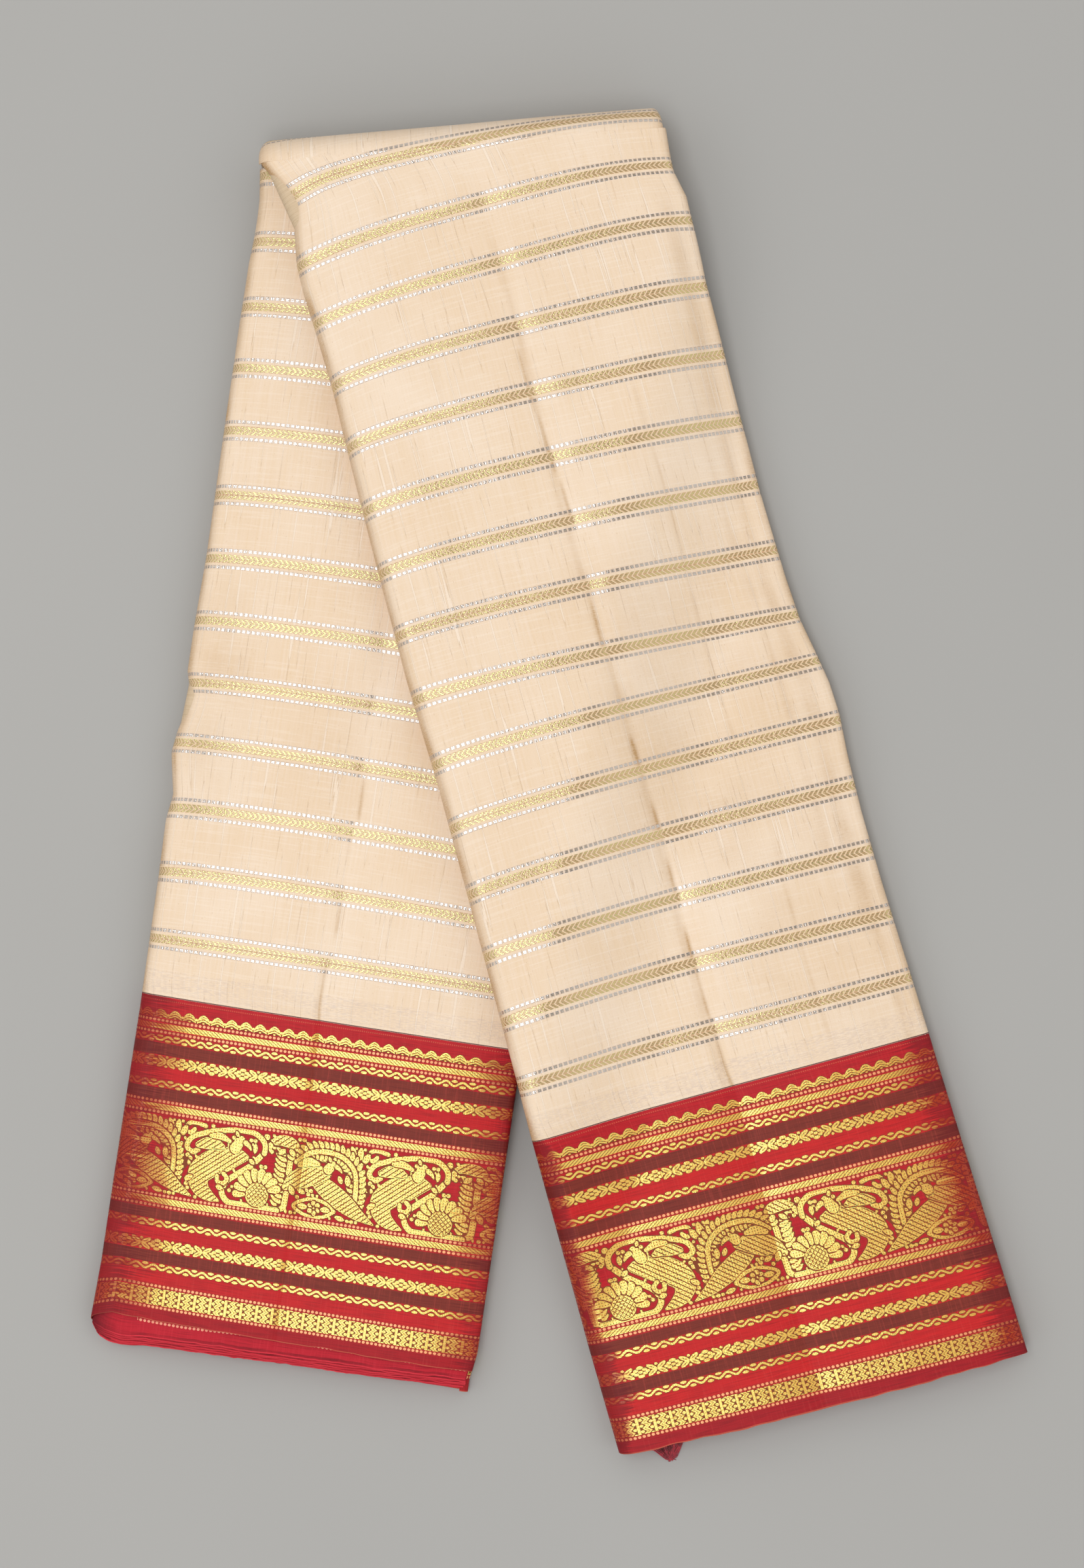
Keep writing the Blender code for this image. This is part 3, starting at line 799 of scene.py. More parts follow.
FRONT = Leg(
    Side.FRONT,
    FRONT_SECTIONS,
    FRONT_THICKNESS,
    end_thinning=1.0,
    end_shear=-1.5,
    repeat_start=3.9,
    repeat_scale=1.0,
    stripes=FRONT_STRIPES,
    stripe_bow=(3.2, 5.6),
    tilts=FRONT_TILTS,
    left_wander=FRONT_LEFT,
    right_wander=FRONT_RIGHT,
    seed=21,
)
BACK = Leg(
    Side.BACK,
    BACK_SECTIONS,
    PACK_THICKNESS,
    end_thinning=2.5,
    end_shear=10.4,
    repeat_start=80.9,
    repeat_scale=-1.077,
    stripes=BACK_STRIPES,
    stripe_bow=(2.6, 3.0),
    tilts=BACK_TILTS,
    left_wander=BACK_LEFT,
    right_wander=BACK_RIGHT,
    seed=34,
)


class Fill(Enum):
    """How the inside of a shape in the band of birds is woven."""

    BEADED = 0
    HATCHED = 1
    NETTED = 2


class Stroke(NamedTuple):
    """A tapered stroke of gold: its fill, and points of place, height and half width."""

    fill: Fill
    points: tuple[tuple[float, float, float], ...]


def stem(half: float, *points: tuple[float, float]) -> Stroke:
    """A stroke of even width through some points."""
    return Stroke(Fill.BEADED, tuple((x, y, half) for x, y in points))


def tapered(x: float, y: float, angle: float, length: float, half: float, shape: Course) -> Stroke:
    """A short stroke that starts at a place.

    Args:
        x: The place along the repeat.
        y: Its height in the band.
        angle: Where the stroke points, in degrees.
        length: Its length.
        half: Its greatest half width.
        shape: Shares of the length, and of the half width there.

    Returns:
        The stroke.
    """
    dx, dy = math.cos(math.radians(angle)), math.sin(math.radians(angle))
    points = tuple((x + dx * length * at, y + dy * length * at, half * wide) for at, wide in shape)
    return Stroke(Fill.BEADED, points)


def leaf(x: float, y: float, angle: float, length: float, half: float) -> Stroke:
    """A small pointed leaf."""
    return tapered(x, y, angle, length, half, ((0.0, 0.25), (0.35, 1.0), (0.7, 0.85), (1.0, 0.2)))


def petal(x: float, y: float, angle: float, length: float, half: float) -> Stroke:
    """A round-ended petal."""
    return tapered(x, y, angle, length, half, ((0.0, 0.45), (0.4, 0.85), (0.8, 1.0)))


def rosette(x: float, y: float, petals: int, reach: float, half: float) -> list[Stroke]:
    """A small flower of round petals about a seed.

    Args:
        x: Its place along the repeat.
        y: Its height in the band.
        petals: How many petals it has.
        reach: How far their middles are from the seed's.
        half: Half the width of a petal.

    Returns:
        A stroke for the seed and for each petal.
    """
    found = [Stroke(Fill.BEADED, ((x, y, half * 0.7),))]
    for number in range(petals):
        angle = math.tau * number / petals + 0.4
        point = (x + reach * math.cos(angle), y + reach * math.sin(angle), half)
        found.append(Stroke(Fill.BEADED, (point,)))
    return found


def leafy(points: Course, every: float, length: float, lean: float, sides: tuple[int, ...]) -> list[Stroke]:
    """Leaves that stand along a stem.

    Args:
        points: The stem.
        every: The distance from leaf to leaf.
        length: The length of a leaf.
        lean: The angle between leaf and stem, in degrees.
        sides: 1 for the left of the stem, -1 for its right.

    Returns:
        A stroke for each leaf.
    """
    line = np.array(points, float)
    marks = way(line)
    found = []
    for at in np.arange(every / 2, marks[-1], every):
        here = smooth_through(marks, line, np.array(at))
        ahead = smooth_through(marks, line, np.array(at + 0.1)) - here
        heading = math.degrees(math.atan2(ahead[1], ahead[0]))
        for side in sides:
            turn = math.radians(heading + side * 90)
            foot = here + 1.5 * np.array([math.cos(turn), math.sin(turn)])
            found.append(leaf(float(foot[0]), float(foot[1]), heading + side * lean, length, 1.15))
    return found


# The leafy stem that bends over the small bird.
ARCH = ((59.6, 4.0), (59.4, 17.0), (61.2, 24.6), (66.6, 29.4), (75.6, 31.4), (84.6, 29.6), (90.6, 24.6))

# Round places between the shapes that stay open red: each middle and its reach.
RED_WINDOWS = (
    (11.8, 24.0, 3.4), (10.4, 18.6, 2.0), (18.4, 26.6, 2.6), (24.6, 25.2, 1.6), (37.8, 6.0, 3.6),
    (36.2, 11.0, 2.6), (51.8, 21.4, 2.2), (53.6, 13.4, 2.4), (58.0, 27.6, 1.8), (43.4, 31.2, 1.2),
    (67.8, 21.8, 3.4), (48.6, 3.4, 1.8),
)


def bird_band() -> list[Stroke]:
    """The strokes of one repeat, later ones over earlier ones, from the selvedge side up."""
    beaded, hatched, netted = Fill.BEADED, Fill.HATCHED, Fill.NETTED
    strokes = [leaf(3.2, 2.2 + 2.45 * n, 30, 6.4, 1.3) for n in range(11)]
    strokes += [
        stem(1.3, (5.6, 0.9), (2.0, 2.6), (1.4, 7.0), (1.4, 17.0), (1.2, 27.4)),
        Stroke(hatched, ((-2.4, 31.0, 0.9), (2.0, 33.0, 2.5), (7.0, 33.6, 2.4), (11.6, 32.0, 1.2))),
        leaf(-1.4, 28.2, 200, 3.6, 1.2), leaf(4.4, 29.6, 320, 4.0, 1.1),
        Stroke(beaded, ((14.4, 34.0, 1.45),)),
        stem(
            1.35, (12.2, 30.4), (15.2, 26.0), (20.4, 19.8), (26.4, 15.0), (31.6, 10.4), (33.4, 5.6),
            (30.4, 1.6), (24.0, 0.8), (14.0, 0.8), (5.0, 0.8),
        ),
        stem(
            1.2, (14.6, 26.2), (14.8, 30.2), (19.0, 34.2), (27.0, 35.2), (37.0, 33.8), (46.0, 31.2),
            (52.2, 27.8), (53.6, 23.8), (50.6, 21.8), (47.6, 23.4),
        ),
        Stroke(netted, ((15.6, 6.6, 5.6), (16.0, 6.8, 5.6))),
    ]
    strokes += [
        petal(15.8 + 6.5 * math.cos(t), 6.8 + 6.5 * math.sin(t), math.degrees(t) + 6, 4.9, 1.75)
        for t in np.radians(np.arange(-8, 158, 20.5))
    ]
    strokes += [
        Stroke(hatched, (
            (23.6, 23.0, 1.6), (28.6, 22.6, 4.2), (35.0, 20.0, 5.9), (42.0, 16.4, 6.2),
            (46.0, 11.4, 5.4), (44.6, 6.4, 4.2), (39.4, 2.6, 2.4), (34.4, 1.0, 0.5),
        )),
        Stroke(hatched, ((35.6, 26.4, 1.0), (40.0, 27.4, 2.5), (44.6, 26.6, 2.6), (48.0, 25.6, 1.4))),
        Stroke(beaded, ((32.6, 29.4, 0.9), (37.4, 31.0, 1.5), (42.4, 30.6, 0.8))),
        Stroke(beaded, ((29.4, 26.6, 2.6), (27.6, 29.6, 2.3), (27.0, 30.4, 2.2))),
        Stroke(beaded, ((24.6, 29.8, 1.2), (22.8, 28.6, 0.9), (21.4, 26.8, 0.3))),
        leaf(28.6, 32.2, 60, 2.6, 0.8),
        stem(0.95, (33.6, 14.0), (31.6, 12.0), (33.0, 9.6), (36.2, 10.0), (36.6, 12.4)),
        leaf(36.4, 7.6, 190, 3.4, 1.1), leaf(21.6, 22.4, 215, 3.2, 1.0),
        leaf(19.4, 29.8, 270, 4.2, 1.1),
    ]
    strokes += rosette(52.8, 18.2, 5, 1.8, 1.1)
    strokes += [
        stem(0.95, (45.4, 34.6), (49.6, 35.4), (54.2, 34.6), (55.4, 31.8), (52.6, 30.6), (50.8, 32.4)),
        leaf(57.6, 28.6, 122, 5.6, 1.5), leaf(59.4, 29.6, 92, 6.2, 1.5), leaf(61.8, 30.6, 66, 5.6, 1.4),
        leaf(53.2, 14.0, 70, 3.0, 1.0), leaf(55.4, 12.0, 110, 4.4, 1.2), leaf(52.6, 8.6, 150, 4.2, 1.2),
    ]
    strokes += leafy(ARCH, 2.4, 4.2, 56, (1, -1))
    strokes += [
        stem(1.05, *ARCH),
        Stroke(hatched, (
            (78.6, 17.4, 3.6), (72.0, 13.4, 4.6), (64.6, 9.2, 4.4), (56.4, 4.6, 2.6),
            (48.6, 1.2, 0.4),
        )),
        Stroke(hatched, (
            (74.4, 21.6, 2.2), (79.0, 20.6, 3.9), (85.0, 18.6, 5.0), (90.6, 15.4, 3.9),
            (94.4, 12.2, 1.4),
        )),
        Stroke(beaded, ((79.6, 25.2, 1.0), (84.0, 25.6, 1.9), (88.6, 23.6, 1.2))),
        Stroke(beaded, ((74.2, 23.6, 2.3), (72.4, 25.6, 2.0))),
        Stroke(beaded, ((70.2, 25.2, 1.05), (68.4, 24.2, 0.7), (67.2, 22.8, 0.25))),
        leaf(73.4, 27.2, 60, 2.4, 0.8),
        stem(
            0.75, (68.6, 4.4), (73.4, 7.6), (79.0, 8.8), (84.6, 7.6), (89.4, 4.4), (84.6, 1.4),
            (79.0, 0.4), (73.4, 1.4), (68.8, 4.2),
        ),
    ]
    strokes += rosette(79.0, 4.6, 6, 2.3, 1.15)
    strokes += [leaf(75.4, 4.6, 180, 4.4, 1.3), leaf(82.6, 4.6, 0, 4.4, 1.3)]
    strokes += [
        leaf(63.2, 1.2, 12, 5.0, 1.1), leaf(90.0, 9.4, 60, 4.4, 1.3), leaf(84.6, 10.8, 20, 4.0, 1.1),
        leaf(63.6, 17.4, 80, 4.6, 1.3), leaf(66.8, 18.0, 60, 3.6, 1.1), leaf(92.0, 27.6, 40, 3.2, 1.2),
    ]
    return strokes


@dataclass(frozen=True)
class BirdBand:
    """One repeat of the band of birds as distances from the edges of its shapes.

    Args:
        pitch: The distance between two readings.
        line: Half the width of the dark line between two shapes.
    """

    pitch: float = 0.25
    line: float = 0.32

    @cached_property
    def charts(self) -> tuple[np.ndarray, np.ndarray, np.ndarray]:
        """The distance to gold, negative inside it, and where it is hatched and netted."""
        across = np.arange(0.0, REPEAT, self.pitch)
        up = np.arange(-1.0, MOTIF_HIGH - MOTIF_LOW + 1.0, self.pitch)
        x, y = np.meshgrid(across, up)
        gold = np.full(x.shape, 3.0)
        hatched = np.zeros(x.shape)
        netted = np.zeros(x.shape)
        for stroke in bird_band():
            shifted = [self.distance(stroke, x + shift, y) for shift in (-REPEAT, 0.0, REPEAT)]
            away = np.minimum.reduce(shifted)
            gold = np.minimum(np.maximum(gold, 2 * self.line - away), away)
            inside = away < self.line
            hatched = np.where(inside, float(stroke.fill is Fill.HATCHED), hatched)
            netted = np.where(inside, float(stroke.fill is Fill.NETTED), netted)
        return self.filled(gold, x, y), hatched, netted

    def filled(self, gold: np.ndarray, x: np.ndarray, y: np.ndarray) -> np.ndarray:
        """Fills what is left between the shapes with small beads, but for the open red windows.

        Args:
            gold: The distance to gold.
            x: The place of each reading along the repeat.
            y: Its height in the band.

        Returns:
            The distance to gold with the beads.
        """
        for number, up in enumerate(np.arange(1.0, MOTIF_HIGH - MOTIF_LOW, 1.9)):
            for place in np.arange(1.1 * (number % 2), REPEAT - 1.0, 2.2):
                row, column = int(round((up + 1.0) / self.pitch)), int(round(place / self.pitch))
                room = gold[row, column]
                open_red = any(math.hypot(place - wx, up - wy) < reach for wx, wy, reach in RED_WINDOWS)
                if room > 0.85 and not open_red:
                    gold = np.minimum(gold, np.hypot(x - place, y - up) - min(room - self.line, 0.95))
        return gold

    @staticmethod
    def distance(stroke: Stroke, x: np.ndarray, y: np.ndarray) -> np.ndarray:
        """The distance of each place from the edge of a stroke.

        Args:
            stroke: The stroke, which runs smoothly through its points.
            x: The places along the repeat.
            y: Their heights in the band.

        Returns:
            The distances, negative inside the stroke.
        """
        points = np.array(stroke.points, float)
        if len(points) > 2:
            marks = way(points[:, :2])
            points = smooth_through(marks, points, np.linspace(0.0, marks[-1], int(marks[-1] / 1.1) + 3))
        if len(points) == 1:
            return np.hypot(x - points[0, 0], y - points[0, 1]) - points[0, 2]
        best = np.full(x.shape, 99.0)
        for a, b in zip(points[:-1], points[1:]):
            dx, dy = b[0] - a[0], b[1] - a[1]
            at = np.clip(((x - a[0]) * dx + (y - a[1]) * dy) / max(dx * dx + dy * dy, 1e-9), 0.0, 1.0)
            away = np.hypot(x - a[0] - at * dx, y - a[1] - at * dy) - (a[2] + (b[2] - a[2]) * at)
            best = np.minimum(best, away)
        return best

    def read(self, u: np.ndarray, up: np.ndarray) -> tuple[np.ndarray, ...]:
        """The three charts at some places of the weave.

        Args:
            u: The places along the saree.
            up: Their heights above the foot of the band.

        Returns:
            The distance to gold, and how far each place is hatched and netted.
        """
        x = (u % REPEAT) / self.pitch
        y = np.clip((up + 1.0) / self.pitch, 0, self.charts[0].shape[0] - 1.001)
        x0, y0 = np.floor(x).astype(int), np.floor(y).astype(int)
        fx, fy = x - x0, y - y0
        found = []
        for chart in self.charts:
            columns = chart.shape[1]
            a, b = chart[y0, x0 % columns], chart[y0, (x0 + 1) % columns]
            c, d = chart[y0 + 1, x0 % columns], chart[y0 + 1, (x0 + 1) % columns]
            found.append((a * (1 - fx) + b * fx) * (1 - fy) + (c * (1 - fx) + d * fx) * fy)
        return tuple(found)


def math_method(operation: str, reflected: bool = False) -> Callable[..., "Signal"]:
    """Makes a method that adds one Math node.

    Args:
        operation: What the node does.
        reflected: Whether the signal is the last of its operands.

    Returns:
        The method.
    """

    def method(self: "Signal", *others: "Signal | float") -> "Signal":
        """The result of the node."""
        operands = (*others, self) if reflected else (self, *others)
        return self.tree.math(operation, *operands)

    return method


@dataclass(frozen=True)
class Signal:
    """A number in a shader that takes part in Python expressions.

    A mask is 1 where it holds, * keeps where both of two hold, and | where either does.
    """

    tree: "Finish"
    socket: bpy.types.NodeSocket

    __add__ = __radd__ = math_method("ADD")
    __mul__ = __rmul__ = math_method("MULTIPLY")
    __sub__ = math_method("SUBTRACT")
    __rsub__ = math_method("SUBTRACT", reflected=True)
    __truediv__ = math_method("DIVIDE")
    __lt__ = math_method("LESS_THAN")
    __gt__ = math_method("GREATER_THAN")
    __abs__ = math_method("ABSOLUTE")
    __or__ = math_method("MAXIMUM")

    def near(self, centre: float, reach: float) -> "Signal":
        """1 where it lies within a reach of a number."""
        return self.tree.math("COMPARE", self, centre, reach)

    def repeat(self, pitch: float) -> "Signal":
        """Counts from minus half a pitch to half a pitch, over and over."""
        return (self.tree.math("FRACT", self / pitch) - 0.5) * pitch

    def within(self, other: "Signal", wide: float, high: float) -> "Signal":
        """1 inside an oval of this half width, and of this half height by the other number."""
        across, up = self / wide, other / high
        return (across * across + up * up) < 1.0

    def zigzag(self, pitch: float) -> "Signal":
        """Goes from -1 to 1 and back once in each pitch."""
        return abs(self.repeat(pitch)) * (4.0 / pitch) - 1.0


class Finish:
    """A procedural material or surroundings, and the few kinds of node it is made of."""

    def __init__(self, name: str, world: bool = False) -> None:
        """Starts an empty node tree."""
        self.owner = (bpy.data.worlds if world else bpy.data.materials).new(name)
        self.owner.use_nodes = True
        self.nodes = self.owner.node_tree.nodes
        self.links = self.owner.node_tree.links
        self.nodes.clear()

    def node(self, kind: str, settings: dict | None = None, sockets: dict | None = None) -> bpy.types.Node:
        """Adds one node.

        Args:
            kind: The node's type.
            settings: Its own settings, which are set first, and the stops of a ramp.
            sockets: For inputs by name or number, a value, a signal or a socket.

        Returns:
            The node.
        """
        node = self.nodes.new(kind)
        for name, value in (settings or {}).items():
            if name == "stops":
                self.set_stops(node.color_ramp, value)
            else:
                setattr(node, name, value)
        for name, value in (sockets or {}).items():
            if isinstance(value, Signal):
                value = value.socket
            if isinstance(value, bpy.types.NodeSocket):
                self.links.new(value, node.inputs[name])
            else:
                node.inputs[name].default_value = value
        return node

    @staticmethod
    def set_stops(ramp: bpy.types.ColorRamp, stops: tuple[tuple[float, Colour], ...]) -> None:
        """Gives a ramp its stops, with soft steps between them, in place of its last one."""
        ramp.interpolation = "EASE"
        for place, colour in stops:
            ramp.elements.new(place).color = colour
        ramp.elements.remove(ramp.elements[-1])

    def number(self, kind: str, settings: dict, sockets: dict, output: int | str = 0) -> Signal:
        """One output of a new node, as a number."""
        return Signal(self, self.node(kind, settings, sockets).outputs[output])

    def math(self, operation: str, *operands: "Signal | float") -> Signal:
        """The result of one Math node."""
        return self.number("ShaderNodeMath", {"operation": operation}, dict(enumerate(operands)))

    def uv(self, name: str) -> tuple[Signal, Signal]:
        """The two coordinates of one of the piece's own UV maps."""
        node = self.node("ShaderNodeUVMap", {"uv_map": name})
        parts = self.node("ShaderNodeSeparateXYZ", sockets={0: node.outputs[0]})
        return Signal(self, parts.outputs[0]), Signal(self, parts.outputs[1])

    def attribute(self, name: str) -> Signal:
        """A number that the piece's mesh carries."""
        return self.number("ShaderNodeAttribute", {"attribute_name": name}, {}, "Fac")

    def noise(self, u: Signal, v: Signal, along: float, across: float, detail: float = 2.0) -> Signal:
        """Uneven weaving, longer one way than the other.

        Args:
            u: The place along the saree.
            v: The place across the saree.
            along: The size of its patches along u, in millimetres.
            across: Their size along v.
            detail: How much finer it gets.

        Returns:
            A number about 0.5.
        """
        place = self.node("ShaderNodeCombineXYZ", sockets={0: u / along, 1: v / across})
        sockets = {"Vector": place.outputs[0], "Scale": 1.0, "Detail": detail}
        return self.number("ShaderNodeTexNoise", {"noise_dimensions": "2D"}, sockets)

    def solid_noise(self, scale: float) -> Signal:
        """Unevenness all through a piece, a number about 0.5."""
        place = self.node("ShaderNodeTexCoord").outputs["Object"]
        return self.number("ShaderNodeTexNoise", {}, {"Vector": place, "Scale": scale, "Detail": 2.0})

    def mix(self, factor: "Signal | float", first: object, second: object) -> bpy.types.NodeSocket:
        """A colour between two."""
        node = self.node("ShaderNodeMix", {"data_type": "RGBA"}, {0: factor, 6: first, 7: second})
        return node.outputs[2]

    def layers(self, colour: object, *coats: tuple["Signal | float", object]) -> bpy.types.NodeSocket:
        """A colour under some coats, each laid by its factor over what is there."""
        for factor, coat in coats:
            colour = self.mix(factor, colour, coat)
        return colour

    def bump(self, height: Signal, distance: float) -> bpy.types.NodeSocket:
        """The normal of a fine relief, whose full height is a distance in metres."""
        sockets = {"Strength": 1.0, "Distance": distance, "Height": height}
        return self.node("ShaderNodeBump", sockets=sockets).outputs[0]

    def shade(self, inputs: dict) -> bpy.types.Material:
        """Ends the material with one Principled shader."""
        shader = self.node("ShaderNodeBsdfPrincipled", sockets=inputs)
        self.node("ShaderNodeOutputMaterial", sockets={0: shader.outputs[0]})
        return self.owner


@dataclass(frozen=True)
class FieldSilk:
    """Cream slub silk with stripes of silver squares about a gold chevron band.

    Args:
        cream: The silk.
        pale: Its palest slubs.
        warm: Its warmest patches.
        worn_and_shaded: Its creases, and where a fold below shows through.
        gold: The metal thread of the chevrons.
        gold_core: The silk it is wound on.
        gold_bed: The silk between the chevrons.
        silver: The metal thread of the squares.
        silver_core: The silk under it.
        lilac: The weak stripes near the border.
        seam: The line at the join with the border.
    """

    cream: Colour = (0.83, 0.675, 0.545, 1.0)
    pale: Colour = (0.90, 0.78, 0.665, 1.0)
    warm: Colour = (0.76, 0.57, 0.38, 1.0)
    worn_and_shaded: Colour = (0.50, 0.31, 0.15, 1.0)
    gold: Colour = (0.54, 0.58, 0.25, 1.0)
    gold_core: Colour = (0.61, 0.37, 0.21, 1.0)
    gold_bed: Colour = (0.81, 0.62, 0.41, 1.0)
    silver: Colour = (0.54, 0.54, 0.54, 1.0)
    silver_core: Colour = (0.52, 0.38, 0.25, 1.0)
    lilac: Colour = (0.46, 0.38, 0.38, 1.0)
    seam: Colour = (0.12, 0.05, 0.05, 1.0)

    def dress(self) -> bpy.types.Material:
        """Makes the material."""
        f = Finish("cream_field_silk")
        u, v = f.uv("weave")
        local = (v - LOWEST_STRIPE + STRIPE_PITCH / 2).repeat(STRIPE_PITCH)
        above = v > LOWEST_STRIPE - STRIPE_PITCH / 2
        beside = abs(u.repeat(2.35))
        squares = abs(local).near(4.05, 0.66) * beside.near(0.0, 0.72) * above
        rims = abs(local).near(4.05, 0.86) * beside.near(0.0, 1.02) * above
        chevron = (u - abs(local) * 1.1).repeat(2.45)
        band = abs(chevron).near(0.0, 0.66) * abs(local).near(1.0, 0.88) * above
        bed = (abs(local) < 2.35) * above
        slub = f.noise(u, v, 1.1, 34.0)
        weft = f.noise(u, v, 26.0, 0.9)
        patch = f.noise(u, v, 46.0, 60.0)
        fleck = f.noise(u, v, 0.5, 2.2, 1.0)
        dash = f.noise(u, v, 3.0, 0.45, 1.0)
        ridge = f.noise(u, v, 1.6, 70.0, 1.0)
        streaks = v.near(7.0, 5.5) * (dash > 0.5) * f.noise(u, v, 40.0, 3.0)
        grid = abs(u.repeat(1.3)).near(0.0, 0.22) | abs(v.repeat(1.15)).near(0.0, 0.18)
        # The brown gaps between the chevrons: partly the silk's own colour, partly painted shadow.
        groove_shadow = abs(chevron).near(0.0, 1.0) * bed * abs(local).near(0.0, 1.95)
        ground = f.layers(
            self.warm,
            (slub * 0.8, self.cream),
            ((weft > 0.6) * 0.22, self.pale),
            ((patch - 0.35) * 0.9, self.pale),
            ((ridge > 0.71) * 0.5, self.pale),
            (ridge.near(0.695, 0.015) * 0.22, self.worn_and_shaded),
            ((fleck > 0.79) * 0.4, self.worn_and_shaded),
            (streaks * 0.4, self.lilac),
            (grid * 0.08, self.warm),
            # Painted shade along the creases, at the leg's sides and in broad patches, partly a fold below
            # showing through.
            (f.attribute("crease_shade") * (dash + 0.5), self.worn_and_shaded),
            (rims * 0.5, self.lilac),
            (bed * 0.7, self.gold_bed),
            (groove_shadow * 0.6, self.worn_and_shaded),
            (v.near(0.3, 0.24), self.seam),
        )
        fine = abs(v.repeat(THREAD_PITCH))
        wound = band * fine.near(0.0, 0.135) | squares * fine.near(0.0, 0.19)
        thread = f.mix(squares, self.gold, self.silver)
        colour = f.layers(ground, (band, self.gold_core), (squares, self.silver_core), (wound, thread))
        metal = band | squares
        height = metal * 0.5 + slub * 0.35 + weft * 0.3 + f.noise(u, v, 0.7, 0.7, 0.0) * 0.25
        return f.shade(
            {
                "Base Color": colour,
                "Metallic": wound,
                "Roughness": 0.56 - metal * 0.34,
                "Specular IOR Level": 0.25,
                "Normal": f.bump(height + (ridge > 0.70) * 0.6, 0.00022),
            }
        )


@dataclass(frozen=True)
class BorderSilk:
    """Red and maroon silk with bands of figures woven in gold.

    A figure is worked out as a level: 1 on gold, a half on the dark lines in and about it, 0 off it.

    Args:
        crimson: The main ground.
        bright: The ground of the bright stripes.
        maroon: The ground of the brown stripes.
        gold: The metal thread.
        core: The orange silk that the metal is wound on.
        line: The dark lines in the figures.
        copper: The pale dots.
        faint: The dull gold at the sides, where wear and painted shade darken it as they turn away.
        shade: The ground there, in painted shade.
        dark_thread: The darkest threads of the ground.
        light_rib: Its lightest ribs.
        dark_patch: Its dark patches.
    """

    crimson: Colour = (0.47, 0.010, 0.017, 1.0)
    bright: Colour = (0.60, 0.017, 0.015, 1.0)
    maroon: Colour = (0.195, 0.026, 0.016, 1.0)
    gold: Colour = (0.47, 0.68, 0.20, 1.0)
    core: Colour = (0.97, 0.50, 0.10, 1.0)
    line: Colour = (0.21, 0.045, 0.013, 1.0)
    copper: Colour = (0.90, 0.36, 0.17, 1.0)
    faint: Colour = (0.34, 0.036, 0.016, 1.0)
    shade: Colour = (0.12, 0.004, 0.008, 1.0)
    dark_thread: Colour = (0.05, 0.004, 0.005, 1.0)
    light_rib: Colour = (0.75, 0.10, 0.08, 1.0)
    dark_patch: Colour = (0.16, 0.004, 0.010, 1.0)

    def dress(self) -> bpy.types.Material:
        """Makes the material."""
        f = Finish("crimson_border_silk")
        u, b = f.uv("band")
        weave_u, weave_v = f.uv("weave")
        kind = f.attribute("kind")
        tone = f.attribute("tone")
        figures = (
            (Weave.ROPE, self.rope(u, b)),
            (Weave.WAVE, self.wave(u, b)),
            (Weave.LATTICE, self.lattice(u, b)),
            (Weave.SCALLOPS, self.scallops(u, b)),
            (Weave.BOXES, self.boxes(u, b)),
            (Weave.BIRDS, self.birds(f, u, b)),
        )
        level = reduce(or_, (kind.near(weave.value, 0.1) * figure for weave, figure in figures))
        gold = level > 0.75
        dots = kind.near(Weave.DOTS.value, 0.1)
        copper = dots * u.repeat(ROPE_PITCH).within(b, 0.73, 0.65)
        thread = f.noise(weave_u, weave_v, 14.0, 0.6)
        # The number read from the mesh here is partly wear and partly painted shade: near the sides it dulls
        # the gold and darkens the ground as they turn away.
        worn_and_shaded = (f.attribute("faded_and_shaded") + thread * 0.7 - 0.85) * 1.9 + 0.5
        faded_and_shaded = f.math("MINIMUM", f.math("MAXIMUM", worn_and_shaded, 0.0), 1.0)
        rib = f.noise(weave_u, weave_v, 0.8, 18.0)
        patch = f.noise(weave_u, weave_v, 30.0, 22.0)
        stitch = weave_v.near(-1.6, 0.28) * abs(weave_u.repeat(1.05)).near(0.0, 0.26)
        ground = f.layers(
            self.crimson,
            (tone * 2.0 * (tone < 0.6), self.bright),
            (tone.near(MAROON_GROUND, 0.2), self.maroon),
            (dots * 0.5, self.line),
            ((thread - 0.5) * 0.9 + 0.08, self.dark_thread),
            ((rib - 0.55) * 0.6, self.light_rib),
            ((patch - 0.5) * 0.4, self.dark_patch),
            (stitch * 0.2, self.copper),
            ((weave_v < FREE_EDGE) * 0.3, self.shade),
            ((weave_v < FREE_RIM) * 0.2, self.copper),
            (level.near(0.5, 0.1) * (1.0 - faded_and_shaded * 0.6), self.line),
            # Painted shade darkens the ground near the sides.
            ((faded_and_shaded - 0.55) * 1.3, self.shade),
        )
        # The metal thread thins out where the sides are painted dull.
        wound = gold * abs(weave_v.repeat(THREAD_PITCH)).near(0.0, 0.10) * (1.0 - faded_and_shaded * 1.15)
        figure = f.layers(self.core, (faded_and_shaded, self.faint), (wound, self.gold))
        dot = f.mix(faded_and_shaded * 0.8, self.copper, self.faint)
        colour = f.layers(ground, (gold, figure), (copper, dot))
        metal = gold | copper
        height = metal * 0.55 + thread * 0.35 + rib * 0.3
        return f.shade(
            {
                "Base Color": colour,
                "Metallic": wound + copper * 0.12,
                "Roughness": 0.54 - metal * 0.30,
                "Specular IOR Level": 0.22,
                "Normal": f.bump(height, 0.00022),
            }
        )

    @staticmethod
    def rope(u: Signal, b: Signal) -> Signal:
        """Slanting strands side by side."""
        strands = (u + b * 1.5).repeat(ROPE_PITCH) > -0.60
        return abs(b).near(0.0, 1.4) * (strands * 0.5 + 0.5)

